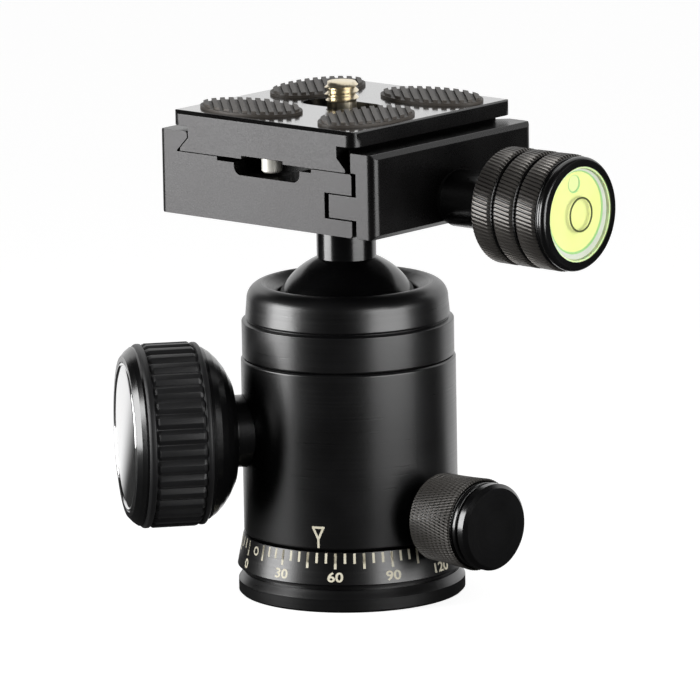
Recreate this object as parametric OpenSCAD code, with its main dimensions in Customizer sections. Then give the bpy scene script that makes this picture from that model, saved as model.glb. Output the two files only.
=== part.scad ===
// Tripod ball head with a quick-release clamp and plate, millimetres, +Z up.
// Origin: centre of the base's underside. +X runs from the clamp to its knob,
// +Y along the way the plate slides.

/* [Base] */
// Radius of the base plate's edge
base_r = 21; // [20.5:0.1:22]
// Height of the base plate's straight edge
base_edge_h = 2.5; // [2:0.1:3]
// Height of the base plate up to the shadow gap
base_h = 4; // [3.5:0.1:4.5]
// Radius inside the shadow gap
gap_r = 19.3; // [18.8:0.1:19.8]
// Height of the degree ring's lower edge
ring_z = 5; // [4.8:0.1:5.2]
// Radius of the degree ring's lower edge
ring_r_low = 21.15; // [20.9:0.05:21.4]
// Radius of the degree ring's upper edge
ring_r_top = 19.95; // [19.6:0.05:20.1]
// Height of the degree ring's upper edge
ring_top = 11.1; // [11:0.05:11.15]
// Radius of the tripod thread's bore, 3/8 inch
thread_r = 3.97; // [3.9:0.01:4]
// Depth of the tripod thread
thread_len = 8; // [7:0.1:8]

/* [Housing] */
// Radius of the housing
housing_r = 19.85; // [19.7:0.05:20]
// Height of the housing's lower edge
housing_z = 11.3; // [11.25:0.05:11.4]
// Height where the collar meets the housing
collar_z = 44.2; // [44:0.1:44.6]
// Radius of the collar's straight band
collar_r = 19.6; // [19.4:0.05:19.8]
// Height of the groove round the collar
collar_groove_z = 51.3; // [51:0.1:51.8]
// Height of the collar's top circle
lip_z = 58; // [58:0.1:58.2]
// Radius of the collar's top circle
lip_r = 15.6; // [15.4:0.1:15.8]
// Radius of the hole in the collar that the ball shows through
mouth_r = 12.9; // [12.8:0.1:13.1]
// Direction of the drop notch, degrees from +X
notch_az = 140.8; // [135:0.1:145]
// Half the width of the drop notch
notch_r = 6.3; // [6.1:0.1:6.5]

/* [Ball] */
// Radius of the ball
ball_r = 14; // [14:0.1:14]
// Height of the ball's centre
ball_z = 49.7; // [49.7:0.1:49.7]
// Radius of the neck
neck_r = 5.5; // [5.2:0.1:5.6]
// Height of the clamp's underside
clamp_z = 71.6; // [71.6:0.1:71.6]

/* [Main lock knob] */
// Direction of the main knob, degrees from +X
main_az = 230.8; // [226:0.1:235]
// Height of the main knob's axis
main_z = 30.8; // [30.8:0.1:30.8]
// Radius of the rubber grip
grip_r = 17.1; // [16.9:0.1:17.3]
// Where the rubber grip starts, from the housing's axis
grip_s = 27.8; // [27.6:0.1:28.2]
// Where the rubber grip ends
grip_end = 39.8; // [39:0.1:40]
// Number of ribs on the rubber grip
grip_ribs = 36; // [30:1:40]

/* [Pan lock knob] */
// Direction of the pan knob, degrees from +X
pan_az = -5; // [-10:0.5:0]
// Height of the pan knob's axis
pan_z = 17; // [17:0.1:17]
// Radius of the pan knob
pan_r = 8.1; // [7.9:0.1:8.3]
// Where the pan knob starts, from the housing's axis
pan_s = 22.6; // [22.2:0.1:23]
// Length of the pan knob with its cap
pan_len = 15.4; // [15:0.1:15.8]

/* [Clamp] */
// Depth of the clamp along the plate's slide
clamp_d = 44.9; // [44.5:0.1:45.5]
// Outer face of the fixed jaw
fixed_x = -25.8; // [-26:0.1:-25.6]
// Outer face of the sliding jaw
jaw_x = 26.3; // [26:0.1:26.5]
// Height of the jaws' tops
jaw_top = 87.2; // [87:0.1:87.4]
// Height of the clamp's floor
floor_z = 83.3; // [83.3:0.1:83.3]
// Radius of the clamp's upright edges
clamp_round = 1.7; // [1.4:0.1:2]
// Height of the clamp knob's axis
knob_z = 76.4; // [76.2:0.1:76.6]
// Radius of the clamp knob
knob_r = 10.6; // [10.4:0.1:10.8]
// Where the clamp knob starts
knob_x = 38.4; // [38.2:0.1:38.8]
// Length of one knurled ring with its groove
knurl_pitch = 5.2; // [5:0.1:5.4]

/* [Quick-release plate] */
// Middle of the plate along X
plate_x = -0.5; // [-0.5:0.1:-0.5]
// Width of the plate's flange
plate_w = 44.4; // [44:0.1:45]
// Length of the plate
plate_l = 44.8; // [44.4:0.1:45]
// Height of the plate's top face
plate_top = 90.9; // [90.8:0.1:91]
// Underside of the plate's flange
flange_z = 88.1; // [88:0.1:88.2]
// Width of the dovetail's foot
foot_w = 40; // [40:0.1:40]
// Width of the dovetail's neck
neck_w = 36; // [36:0.1:36]
// Height of the grip pads
pad_h = 1; // [0.8:0.1:1.2]
// Length of a grip pad
pad_l = 22; // [21:0.1:22.2]
// Width of a grip pad
pad_w = 13.6; // [13:0.1:13.8]
// Radius of the camera screw, 1/4 inch
screw_r = 3.175; // [3.1:0.005:3.2]
// Top of the camera screw
screw_top = 95.2; // [94.8:0.1:95.6]

/* [Hidden] */
$fn = 96;

anodised = "#1c1c1f";
anodised_grey = "#3a3a3d";
steel = "#b9bbc0";
brass = "#c9a24a";
rubber = "#151515";
nylon = "#e8e4da";

eps = 0.05;

// Base and pan bearing
hub_r = 15.95;
hub_top = 10.6;
bush_r = 6.5;
stud_r = 5;
stud_z = thread_len + 0.3;
spindle_r = 8;
spindle_top = 22;
groove_flat_r = 6.6;
groove_half = 1.8;
pan_washer_top = 11.8;

// Inside of the housing
ledge_z = spindle_top - 0.2;
centre_bore_r = 11;
seat_floor_z = 33.9;
seat_bore_r = 15.3;
spigot_r = 17.2;
spigot_z = 41.5;
lip_curve = 3;
mouth_z = 56.5;
collar_bore_r = 16.2;
ring_seat_z = 55.6;

// Ball, seat and liner
seat_r = 15.2;
seat_z = 34.3;
seat_top = 41;
seat_sphere_r = 15.02;
liner_out_r = 14.9;
liner_in_r = 14.1;
liner_top = 40.5;
stem_spigot_r = 4;
stem_spigot_top = 75.9;
bolt_r = 2.5;
bolt_head_r = 4.6;
bolt_head_z = 80;
bolt_top = 82;

// Main lock
rod_r = 3;
wedge_tilt = 20;
wedge_rise = 1.25;
wedge_in = -6.5;
wedge_out = 4.2;
foot_half = 4;
rod_in = -14.2;
rod_out = 14;
bushing_r = 6.7;
bushing_in = 16;
bushing_out = 21.6;
core_r = 15;
disc_r = 13.7;
bezel_end = 41.9;
main_shaft_end = 40;
pan_body_end = pan_s + pan_len - 1.9;

// Clamp
split_x = 21;
split_gap = 1;
slot_x = 14.5;
slot_low = 74.65;
slot_high = 79.4;
recess_half = 11.4;
recess_z = 82.6;
lip_x = 18.7;
dovetail_play = 0.17;
pin_r = 1.5;
pin_y = 15;
pin_z = 77;
pin_in = 5;
spring_in = 9.2;
stop_y = 19.6;
stop_r = 1.9;
pocket_y = 13.2;
pocket_w = 15.9;
pocket_x = 0.65;
pocket_z = 80.4;
hub_knob_r = 5.2;
hub_knob_x = jaw_x + 0.85;

// Clamp knob and level
knurl_end = knob_x + 3 * knurl_pitch;
cup_x = knurl_end - 2.4;
vial_face = knurl_end + 1.7;
cup_r = 9;
vial_r = 8.35;

// Plate
plate_round = 2.2;
head_r = 6.3;
head_z = 83.75;
screw_play = 4.5;
ledge_low = 86.2;
ledge_high = 87.2;
top_slot_r = 3.7;
ledge_slot_r = 3.3;

// Turns its children so that their +Z points outwards at azimuth az and height z
module outwards(az, z) {
    translate([0, 0, z]) rotate([0, 0, az]) rotate([0, 90, 0]) children();
}

// A straight shape along Y with the outline points [x, z]
module along_y(points, length) {
    rotate([90, 0, 0]) linear_extrude(height = length, center = true) polygon(points);
}

// Round disc from z0 to z1 whose top bulges by rise in the middle
module domed_disc(r, z0, z1, rise) {
    rings = 6;
    rotate_extrude() polygon(concat(
        [[0, z0], [r, z0]],
        [for (i = [rings:-1:0]) [r * i / rings, z1 + rise * (1 - pow(i / rings, 2))]]
    ));
}

// A slot with round ends along X, ends half its length from the middle
module slot_x_way(half, r, z0, z1) {
    translate([-half, 0, z0]) cylinder(r = r, h = z1 - z0);
    translate([half, 0, z0]) cylinder(r = r, h = z1 - z0);
    translate([-half, -r, z0]) cube([2 * half, 2 * r, z1 - z0]);
}

// Upright block from x0 to x1, length long in Y, with round corners of radius r at x1
module round_end(x0, x1, length, r) {
    translate([0, 0, clamp_z - 1]) linear_extrude(height = 30) union() {
        translate([x0, -length / 2]) square([x1 - x0 - r, length]);
        translate([x0, r - length / 2]) square([x1 - x0, length - 2 * r]);
        for (side = [-1, 1]) translate([x1 - r, side * (length / 2 - r)]) circle(r = r);
    }
}

// Coil of round wire along +X from x0 to x1
module coil(x0, x1, mean_r, wire_r, turns) {
    rings = 8 * turns;
    sides = 6;
    function at(i) = [
        x0 + wire_r + (x1 - x0 - 2 * wire_r) * i / rings,
        mean_r * cos(360 * turns * i / rings),
        mean_r * sin(360 * turns * i / rings)
    ];
    function ring_point(i, k) = at(i) + wire_r * cos(360 * k / sides) * [1, 0, 0]
        + wire_r * sin(360 * k / sides)
            * [0, cos(360 * turns * i / rings), sin(360 * turns * i / rings)];
    points = [for (i = [0:rings], k = [0:sides - 1]) ring_point(i, k)];
    walls = [
        for (i = [0:rings - 1], k = [0:sides - 1], half = [0, 1])
            let (a = i * sides + k, b = i * sides + (k + 1) % sides)
            half == 0 ? [a, b, b + sides] : [a, b + sides, a + sides]
    ];
    low = [for (k = [1:sides - 2]) [0, k + 1, k]];
    high = [for (k = [1:sides - 2]) [rings * sides, rings * sides + k, rings * sides + k + 1]];
    polyhedron(points = points, faces = concat(walls, low, high), convexity = 8);
}

// Space swept by the neck when the head drops by 90 degrees
module notch_space(r) {
    outwards(notch_az, ball_z) translate([0, 0, 9]) cylinder(r = r, h = 16);
    translate([0, 0, ball_z]) rotate([0, 0, notch_az]) translate([9, -r, 0]) cube([16, 2 * r, 12]);
}

module base_plate() color(anodised) rotate_extrude() polygon([
    [bush_r, 0], [base_r - 0.4, 0], [base_r, 0.4], [base_r, base_edge_h],
    [base_r - 1, base_h], [gap_r, base_h], [gap_r, ring_z], [hub_r, ring_z],
    [hub_r, hub_top], [stud_r, hub_top], [stud_r, stud_z], [bush_r, stud_z]
]);

module degree_ring() color(anodised) rotate_extrude() polygon([
    [hub_r + eps, ring_z], [ring_r_low - 0.3, ring_z], [ring_r_low, ring_z + 0.3],
    [ring_r_top, ring_top], [hub_r + eps, ring_top]
]);

module thread_bushing() color(steel) difference() {
    cylinder(r = bush_r, h = thread_len);
    translate([0, 0, -1]) cylinder(r = thread_r, h = thread_len + 2);
}

module pan_spindle() color(steel) rotate_extrude() polygon([
    [0, stud_z], [stud_r, stud_z], [stud_r, hub_top], [spindle_r, hub_top],
    [spindle_r, pan_z - groove_half], [groove_flat_r, pan_z - 0.4],
    [groove_flat_r, pan_z + 0.4], [spindle_r, pan_z + groove_half],
    [spindle_r, spindle_top], [bolt_r, spindle_top], [bolt_r, 14], [0, 14]
]);

module pan_washer() color(nylon) difference() {
    translate([0, 0, hub_top]) cylinder(r = 15.6, h = pan_washer_top - hub_top);
    translate([0, 0, hub_top - 1]) cylinder(r = spindle_r + 0.6, h = 4);
}

module retainer_washer() color(steel) difference() {
    translate([0, 0, spindle_top]) cylinder(r = centre_bore_r - 0.5, h = 1.6);
    translate([0, 0, spindle_top - 1]) cylinder(r = bolt_r, h = 4);
}

module retainer_screw() color(steel) difference() {
    rotate_extrude() polygon([
        [0, 14.5], [bolt_r, 14.5], [bolt_r, spindle_top + 1.6], [4.4, spindle_top + 1.6],
        [4.4, spindle_top + 3.1], [4, spindle_top + 3.5], [0, spindle_top + 3.5]
    ]);
    translate([0, 0, spindle_top + 1.5]) cylinder(r = 2.3, h = 4, $fn = 6);
}

module housing() color(anodised) difference() {
    rotate_extrude() polygon([
        [spindle_r + eps, pan_washer_top + 0.1], [15.9, pan_washer_top + 0.1],
        [15.9, housing_z], [housing_r - 0.4, housing_z], [housing_r, housing_z + 0.4],
        [housing_r, collar_z - 0.35], [housing_r - 0.35, collar_z], [spigot_r, collar_z],
        [spigot_r, spigot_z], [seat_bore_r, spigot_z], [seat_bore_r, seat_floor_z],
        [centre_bore_r, seat_floor_z], [centre_bore_r, ledge_z], [spindle_r + eps, ledge_z]
    ]);
    outwards(main_az, main_z) translate([0, 0, rod_in - 0.8])
        cylinder(r = rod_r + 0.08, h = bushing_in - rod_in + 1);
    outwards(main_az, main_z) translate([0, 0, bushing_in]) cylinder(r = bushing_r, h = 6);
    outwards(pan_az, pan_z) translate([0, 0, 6]) cylinder(r = rod_r + eps, h = 16);
    notch_space(notch_r);
}

module collar() color(anodised) difference() {
    rotate_extrude() difference() {
        union() {
            polygon([
                [mouth_r, spigot_z], [spigot_r, spigot_z], [spigot_r, collar_z],
                [collar_r - 0.35, collar_z], [collar_r, collar_z + 0.35],
                [collar_r, collar_groove_z - 0.3], [collar_r - 1.1, collar_groove_z],
                [collar_r - 0.7, collar_groove_z + 0.4], [lip_r + lip_curve, lip_z - lip_curve],
                [lip_r, lip_z - lip_curve], [lip_r, lip_z], [mouth_r + 0.4, mouth_z + 0.1],
                [mouth_r, mouth_z - 0.2]
            ]);
            intersection() {
                translate([lip_r, lip_z - lip_curve]) circle(r = lip_curve);
                translate([lip_r, lip_z - lip_curve]) square(lip_curve);
            }
        }
        translate([0, spigot_z - 1]) square([collar_bore_r, ring_seat_z - spigot_z + 1]);
    }
    notch_space(notch_r);
    outwards(notch_az, lip_z + 4.9) translate([0, 0, 9]) rotate([0, 0, 45])
        cube([2 * notch_r, 2 * notch_r, 32], center = true);
}

module upper_seat_ring() color(rubber) difference() {
    translate([0, 0, 47.8]) cylinder(r = collar_bore_r - eps, h = ring_seat_z - 47.8 - eps);
    translate([0, 0, ball_z]) sphere(r = ball_r + 0.12);
    notch_space(notch_r + 0.1);
}

module main_bushing() color(anodised_grey) outwards(main_az, main_z) difference() {
    translate([0, 0, bushing_in]) cylinder(r = bushing_r, h = bushing_out - bushing_in);
    translate([0, 0, bushing_in - 1]) cylinder(r = rod_r + eps, h = 10);
}

module pan_plug() color(brass) outwards(pan_az, pan_z) rotate_extrude() polygon([
    [0, 6.75], [0.3, 6.75], [1.65, 8.15], [rod_r, 8.15], [rod_r, 11.3], [0, 11.3]
]);

module pan_shaft() color(steel) outwards(pan_az, pan_z)
    translate([0, 0, 11.35]) cylinder(r = rod_r, h = pan_body_end - 2 - 11.35);

module pan_knob() color(anodised) outwards(pan_az, pan_z) rotate_extrude() polygon([
    [rod_r, pan_s], [pan_r - 1, pan_s], [pan_r, pan_s + 1], [pan_r, pan_body_end - 0.6],
    [pan_r - 0.5, pan_body_end - 0.4], [pan_r - 0.5, pan_body_end], [0, pan_body_end],
    [0, pan_body_end - 2], [rod_r, pan_body_end - 2]
]);

module pan_knob_cap() color(anodised) outwards(pan_az, pan_z) rotate_extrude() polygon([
    [0, pan_body_end], [pan_r - 0.1, pan_body_end], [pan_r - 0.1, pan_s + pan_len - 0.7],
    [pan_r - 0.8, pan_s + pan_len], [0, pan_s + pan_len]
]);

// Height of the wedge's slope above the rod's axis at distance s from the housing's axis
function slope(s) = wedge_rise + tan(wedge_tilt) * s;

// Upright slice through the rod with outline points [s, height above the rod's axis]
module across_rod(points, width) {
    translate([0, 0, main_z]) rotate([0, 0, main_az]) along_y(points, width);
}

module main_plunger() color(steel) difference() {
    outwards(main_az, main_z) translate([0, 0, rod_in]) cylinder(r = rod_r, h = rod_out - rod_in);
    across_rod([
        [wedge_in, slope(wedge_in)], [wedge_out, slope(wedge_out)], [wedge_out, 9], [wedge_in, 9]
    ], 12);
}

module main_shaft() color(steel) outwards(main_az, main_z)
    translate([0, 0, rod_out + eps]) cylinder(r = rod_r, h = main_shaft_end - rod_out - eps);

module main_knob_core() color(anodised) outwards(main_az, main_z) rotate_extrude() polygon([
    [rod_r, 21.7], [6.9, 21.7], [9.9, 22.3], [12.2, 23.5], [13.8, 24.7], [15.1, 26],
    [15.9, 27.2], [15.9, grip_s], [core_r, grip_s], [core_r, grip_end], [disc_r, grip_end],
    [disc_r, bezel_end - 1], [0, bezel_end - 1], [0, main_shaft_end], [rod_r, main_shaft_end]
]);

module main_knob_grip() color(rubber) outwards(main_az, main_z) difference() {
    rotate_extrude() polygon([
        [core_r, grip_s], [grip_r - 0.5, grip_s], [grip_r, grip_s + 0.5],
        [grip_r, grip_end - 0.9], [grip_r - 0.4, grip_end - 0.5],
        [grip_r - 0.4, grip_end], [core_r, grip_end]
    ]);
    for (i = [0:grip_ribs - 1]) rotate([0, 0, 360 * i / grip_ribs])
        translate([grip_r + 0.35, 0, grip_s - 1])
            cylinder(r = 0.95, h = grip_end - grip_s, $fn = 24);
}

module main_knob_bezel() color(anodised) outwards(main_az, main_z) rotate_extrude() polygon([
    [disc_r, grip_end], [16.5, grip_end], [16.5, grip_end + 0.4], [15.9, grip_end + 1.2],
    [14.9, bezel_end], [disc_r + 0.2, bezel_end], [disc_r, bezel_end - 0.2]
]);

module main_knob_disc() color(steel) outwards(main_az, main_z)
    domed_disc(disc_r, bezel_end - 1, bezel_end - 0.1, 0.5);

module ball_seat() color(brass) {
    difference() {
        union() {
            translate([0, 0, seat_z]) cylinder(r = seat_r, h = seat_top - seat_z);
            across_rod([
                [-foot_half, slope(-foot_half) + eps], [foot_half, slope(foot_half) + eps],
                [foot_half, seat_z - main_z + 0.4], [-foot_half, seat_z - main_z + 0.4]
            ], 6.4);
        }
        translate([0, 0, ball_z]) sphere(r = seat_sphere_r);
    }
}

module ball_liner() color(nylon) rotate_extrude() intersection() {
    translate([0, ball_z]) difference() {
        circle(r = liner_out_r);
        circle(r = liner_in_r);
    }
    translate([0, ball_z - 20]) square([20, liner_top - ball_z + 20]);
}

module ball_stem() color(anodised) difference() {
    rotate_extrude() union() {
        intersection() {
            translate([0, ball_z]) circle(r = ball_r);
            translate([0, ball_z - 20]) square([20, 40]);
        }
        translate([0, ball_z]) square([neck_r, clamp_z - eps - ball_z]);
        translate([0, clamp_z - 1]) square([stem_spigot_r, stem_spigot_top - clamp_z + 1]);
    }
    translate([0, 0, 64]) cylinder(r = bolt_r, h = 20);
}

module clamp_bolt() color(steel) difference() {
    rotate_extrude() polygon([
        [0, 64.5], [bolt_r, 64.5], [bolt_r, bolt_head_z],
        [bolt_head_r, bolt_head_z + 1.6], [bolt_head_r, bolt_top], [0, bolt_top]
    ]);
    translate([0, 0, bolt_head_z + 0.2]) cylinder(r = 1.75, h = 4, $fn = 6);
}

module clamp_body() color(anodised_grey) difference() {
    intersection() {
        mirror([1, 0, 0]) round_end(-30, -fixed_x, clamp_d, clamp_round);
        along_y([
            [fixed_x, clamp_z + 0.9], [fixed_x + 0.9, clamp_z], [split_x - 0.4, clamp_z],
            [split_x, clamp_z + 0.4], [split_x, slot_low], [slot_x, slot_low],
            [slot_x, slot_high], [split_x, slot_high], [split_x, floor_z - 0.3],
            [split_x - 0.3, floor_z], [recess_half, floor_z], [recess_half, recess_z],
            [-recess_half, recess_z], [-recess_half, floor_z], [-lip_x - 2.5, floor_z],
            [-lip_x - 2.5, floor_z + 0.2], [-lip_x, floor_z + 2.7], [-lip_x, jaw_top - 0.3],
            [-lip_x - 0.3, jaw_top], [fixed_x + 0.9, jaw_top], [fixed_x, jaw_top - 0.9]
        ], clamp_d);
    }
    for (side = [-1, 1]) {
        end_pocket(side);
        outwards(0, pin_z) translate([0, side * pin_y, pin_in]) cylinder(r = pin_r, h = 12);
        outwards(0, pin_z) translate([0, side * pin_y, spring_in - 0.2]) cylinder(r = 2.75, h = 8);
    }
    translate([0, 0, clamp_z - 1]) cylinder(r = stem_spigot_r + eps, h = stem_spigot_top - clamp_z + 1.2);
    translate([0, 0, clamp_z]) cylinder(r = bolt_r + 0.1, h = 12);
    translate([0, 0, bolt_head_z - 0.1]) cylinder(r1 = bolt_r + 0.1, r2 = bolt_head_r + 0.15, h = 1.6);
    translate([0, 0, bolt_head_z + 1.5]) cylinder(r = bolt_head_r + 0.15, h = 4);
    outwards(0, knob_z) translate([0, 0, pin_in + 0.4]) cylinder(r = rod_r + eps, h = 12);
    outwards(0, knob_z) translate([0, 0, slot_x - 0.1]) cylinder(r = rod_r + 0.3, h = 12);
}

// Pocket at one end of the clamp that the plate's stop screw travels in
module end_pocket(side) {
    corner = 1.6;
    length = clamp_d / 2 - pocket_y + 1;
    translate([pocket_x, side * (pocket_y + length / 2), 0]) rotate([90, 0, 0])
        linear_extrude(height = length, center = true) union() {
            translate([-pocket_w / 2, pocket_z + corner]) square([pocket_w, 4]);
            translate([-pocket_w / 2 + corner, pocket_z]) square([pocket_w - 2 * corner, 4]);
            for (way = [-1, 1])
                translate([way * (pocket_w / 2 - corner), pocket_z + corner]) circle(r = corner, $fn = 32);
        }
}

module guide_pins() color(steel) for (side = [-1, 1])
    outwards(0, pin_z) translate([0, side * pin_y, pin_in]) cylinder(r = pin_r, h = 19);

module jaw_springs() color(steel) for (side = [-1, 1])
    translate([0, side * pin_y, pin_z]) coil(spring_in, slot_x + split_gap - eps, 2.15, 0.3, 5);

module sliding_jaw() color(anodised_grey) difference() {
    face = split_x + split_gap;
    tongue_x = slot_x + split_gap;
    under = lip_x - 1;
    intersection() {
        round_end(0, jaw_x, clamp_d, clamp_round);
        along_y([
            [face, clamp_z + 0.4], [face + 0.4, clamp_z], [jaw_x - 0.9, clamp_z],
            [jaw_x, clamp_z + 0.9], [jaw_x, jaw_top - 0.9], [jaw_x - 0.9, jaw_top],
            [under + 0.3, jaw_top], [under, jaw_top - 0.3], [under, floor_z + 2.7],
            [under + 2.5, floor_z + dovetail_play], [face, floor_z + dovetail_play],
            [face, slot_high - 0.2], [tongue_x, slot_high - 0.2],
            [tongue_x, slot_low + 0.2], [face, slot_low + 0.2]
        ], clamp_d);
    }
    for (side = [-1, 1]) {
        translate([under - 0.2, side * (clamp_d / 2 + 0.2), floor_z + 3]) rotate([0, 0, 45])
            cube([5, 5, 7.8], center = true);
        outwards(0, pin_z) translate([0, side * pin_y, tongue_x - 1]) cylinder(r = pin_r + eps, h = 10.1);
    }
    outwards(0, knob_z) translate([0, 0, tongue_x - 1]) cylinder(r = rod_r + 0.2, h = 14);
}

module thrust_washer() color(rubber) outwards(0, knob_z) difference() {
    translate([0, 0, jaw_x]) cylinder(r = hub_knob_r - 0.3, h = 0.8);
    translate([0, 0, jaw_x - 1]) cylinder(r = rod_r + 0.1, h = 4);
}

module clamp_shaft() color(steel) outwards(0, knob_z)
    translate([0, 0, pin_in + 1]) cylinder(r = rod_r, h = 44);

module clamp_knob() color(anodised) outwards(0, knob_z) difference() {
    rotate_extrude() polygon([
        [0, hub_knob_x], [hub_knob_r, hub_knob_x], [hub_knob_r, knob_x], [knob_r - 0.7, knob_x],
        [knob_r, knob_x + 0.7], [knob_r, knurl_end - 0.4], [knob_r - 0.4, knurl_end],
        [0, knurl_end]
    ]);
    for (i = [1, 2]) translate([0, 0, knob_x + i * knurl_pitch]) rotate_extrude()
        polygon([[knob_r - 0.5, -0.1], [knob_r + 0.1, -0.4], [knob_r + 0.1, 0.4], [knob_r - 0.5, 0.1]]);
    translate([0, 0, hub_knob_x - 1]) cylinder(r = rod_r, h = pin_in + 45 - hub_knob_x + 1);
    translate([0, 0, cup_x]) cylinder(r = cup_r, h = 6);
}

module knob_bezel() color(anodised) outwards(0, knob_z) rotate_extrude() difference() {
    union() {
        translate([cup_r, knurl_end]) square([1, 1.3]);
        translate([vial_r + 0.3, knurl_end + 0.5]) square([1.25, 1.4]);
        translate([knob_r - 1.1, knurl_end + 1]) circle(r = 0.9, $fn = 48);
    }
    square([cup_r, vial_face]);
}

module level_cup() color("#d8ef8a") outwards(0, knob_z) difference() {
    translate([0, 0, cup_x]) cylinder(r = cup_r, h = vial_face - cup_x);
    translate([0, 0, cup_x + 0.9]) cylinder(r = vial_r, h = 6);
}

module level_fluid() color("#d7ee45") outwards(0, knob_z) difference() {
    translate([0, 0, cup_x + 0.9 + eps]) cylinder(r = vial_r - 0.1, h = vial_face - cup_x - 1.5 - 2 * eps);
    bubble_space();
}

// Flat round bubble under the lens, at the top of the upright vial
module bubble_space() {
    translate([-5.6, -0.8, vial_face - 1.5]) cylinder(r = 1.7, h = 0.9 - eps);
}

module level_bubble() color("#f4fbd0") outwards(0, knob_z) bubble_space();

module level_lens() color("#eef5c8") outwards(0, knob_z)
    domed_disc(vial_r, vial_face - 0.6, vial_face, 0.35);

module quick_plate() color(anodised_grey) translate([plate_x, 0, 0]) difference() {
    intersection() {
        round_end(-30, plate_w / 2, plate_l, plate_round);
        mirror([1, 0, 0]) round_end(-30, plate_w / 2, plate_l, plate_round);
        along_y([
            [-foot_w / 2, floor_z + 0.1], [foot_w / 2, floor_z + 0.1], [foot_w / 2, floor_z + 0.7],
            [neck_w / 2, floor_z + 2.7], [neck_w / 2, flange_z], [plate_w / 2, flange_z],
            [plate_w / 2, plate_top - 0.8], [plate_w / 2 - 0.24, plate_top - 0.24],
            [plate_w / 2 - 0.8, plate_top], [-plate_w / 2 + 0.8, plate_top],
            [-plate_w / 2 + 0.24, plate_top - 0.24], [-plate_w / 2, plate_top - 0.8],
            [-plate_w / 2, flange_z], [-neck_w / 2, flange_z], [-neck_w / 2, floor_z + 2.7],
            [-foot_w / 2, floor_z + 0.7]
        ], plate_l);
    }
    for (side = [-1, 1]) {
        translate([0, side * plate_l / 2, plate_top]) rotate([45, 0, 0])
            cube([2 * plate_w, 0.9, 0.9], center = true);
        translate([0, side * stop_y, floor_z]) cylinder(r = 1.3, h = 4.2);
        translate([-5, side * (plate_l / 2 - 2.5) - 2.6, floor_z - 1]) cube([10, 5.2, 1.7]);
    }
    slot_x_way(screw_play, head_r + 0.15, floor_z, ledge_low);
    slot_x_way(screw_play + 0.1, ledge_slot_r, floor_z, plate_top);
    slot_x_way(screw_play + 0.1, top_slot_r, ledge_high, plate_top + 1);
}

// Outline of a pad with its long axis along X
module pad_outline(grow) {
    polygon([for (i = [0:39]) [(pad_l / 2 + grow) * cos(9 * i), (pad_w / 2 + grow) * sin(9 * i)]]);
}

module grip_pads() color(rubber) for (quarter = [0:3]) {
    ridge_pitch = 1.6;
    turned = 90 * quarter;
    translate([plate_x, 0, plate_top]) rotate([0, 0, turned]) translate([-9.6, -14.2, 0]) union() {
        linear_extrude(height = pad_h / 2) pad_outline(0);
        linear_extrude(height = pad_h) intersection() {
            pad_outline(-0.4);
            rotate([0, 0, 45 - turned]) for (i = [-6:6])
                translate([i * ridge_pitch - 0.45, -15]) square([0.9, 30]);
        }
    }
}

module stop_screws() color(steel) for (side = [-1, 1])
    translate([plate_x, side * stop_y, 0]) difference() {
        rotate_extrude() polygon([
            [0, 81.2], [stop_r - 0.3, 81.2], [stop_r, 81.5], [stop_r, floor_z + 0.7],
            [1.3, floor_z + 0.7], [1.3, floor_z + 4], [0, floor_z + 4]
        ]);
        translate([0, 0, 80.2]) cylinder(r = 1.1, h = 2.2, $fn = 6);
    }

module camera_screw() color(brass) translate([plate_x, 0, 0]) difference() {
    rotate_extrude() polygon([
        [0, head_z], [head_r - 0.3, head_z], [head_r, head_z + 0.3], [head_r, ledge_low - 0.1],
        [screw_r, ledge_low - 0.1], [screw_r, ledge_high], [2.65, ledge_high],
        [2.65, ledge_high + 0.7], [screw_r, ledge_high + 0.7], [screw_r, plate_top],
        [2.7, plate_top + 0.3], [2.7, plate_top + 0.7], [screw_r, plate_top + 1],
        [screw_r, screw_top - 0.6], [screw_r - 0.6, screw_top], [0, screw_top]
    ]);
    translate([0, 0, head_z]) cube([1.3, 2 * head_r + 1, 1.6], center = true);
}

module screw_clip() color(steel) translate([plate_x, 0, ledge_high + 0.1]) difference() {
    cylinder(r = top_slot_r - 0.1, h = 0.5);
    translate([0, 0, -1]) cylinder(r = 2.7, h = 3);
    translate([0, -1.5, -1]) cube([5, 3, 3]);
}

base_plate();
degree_ring();
thread_bushing();
pan_spindle();
pan_washer();
retainer_washer();
retainer_screw();
housing();
collar();
upper_seat_ring();
main_bushing();
pan_plug();
pan_shaft();
pan_knob();
pan_knob_cap();
main_plunger();
main_shaft();
main_knob_core();
main_knob_grip();
main_knob_bezel();
main_knob_disc();
ball_seat();
ball_liner();
ball_stem();
clamp_bolt();
clamp_body();
guide_pins();
jaw_springs();
sliding_jaw();
thrust_washer();
clamp_shaft();
clamp_knob();
knob_bezel();
level_cup();
level_fluid();
level_bubble();
level_lens();
quick_plate();
grip_pads();
stop_screws();
camera_screw();
screw_clip();
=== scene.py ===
"""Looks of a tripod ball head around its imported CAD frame, +Z up, in the frame's own coordinates.

Sizes in the classes are millimetres, as in the part's source, and meshes are metres.
"""

import logging
import math
from dataclasses import dataclass
from enum import Enum
from functools import cache

import bmesh
import bpy
from mathutils import Matrix, Vector


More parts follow.
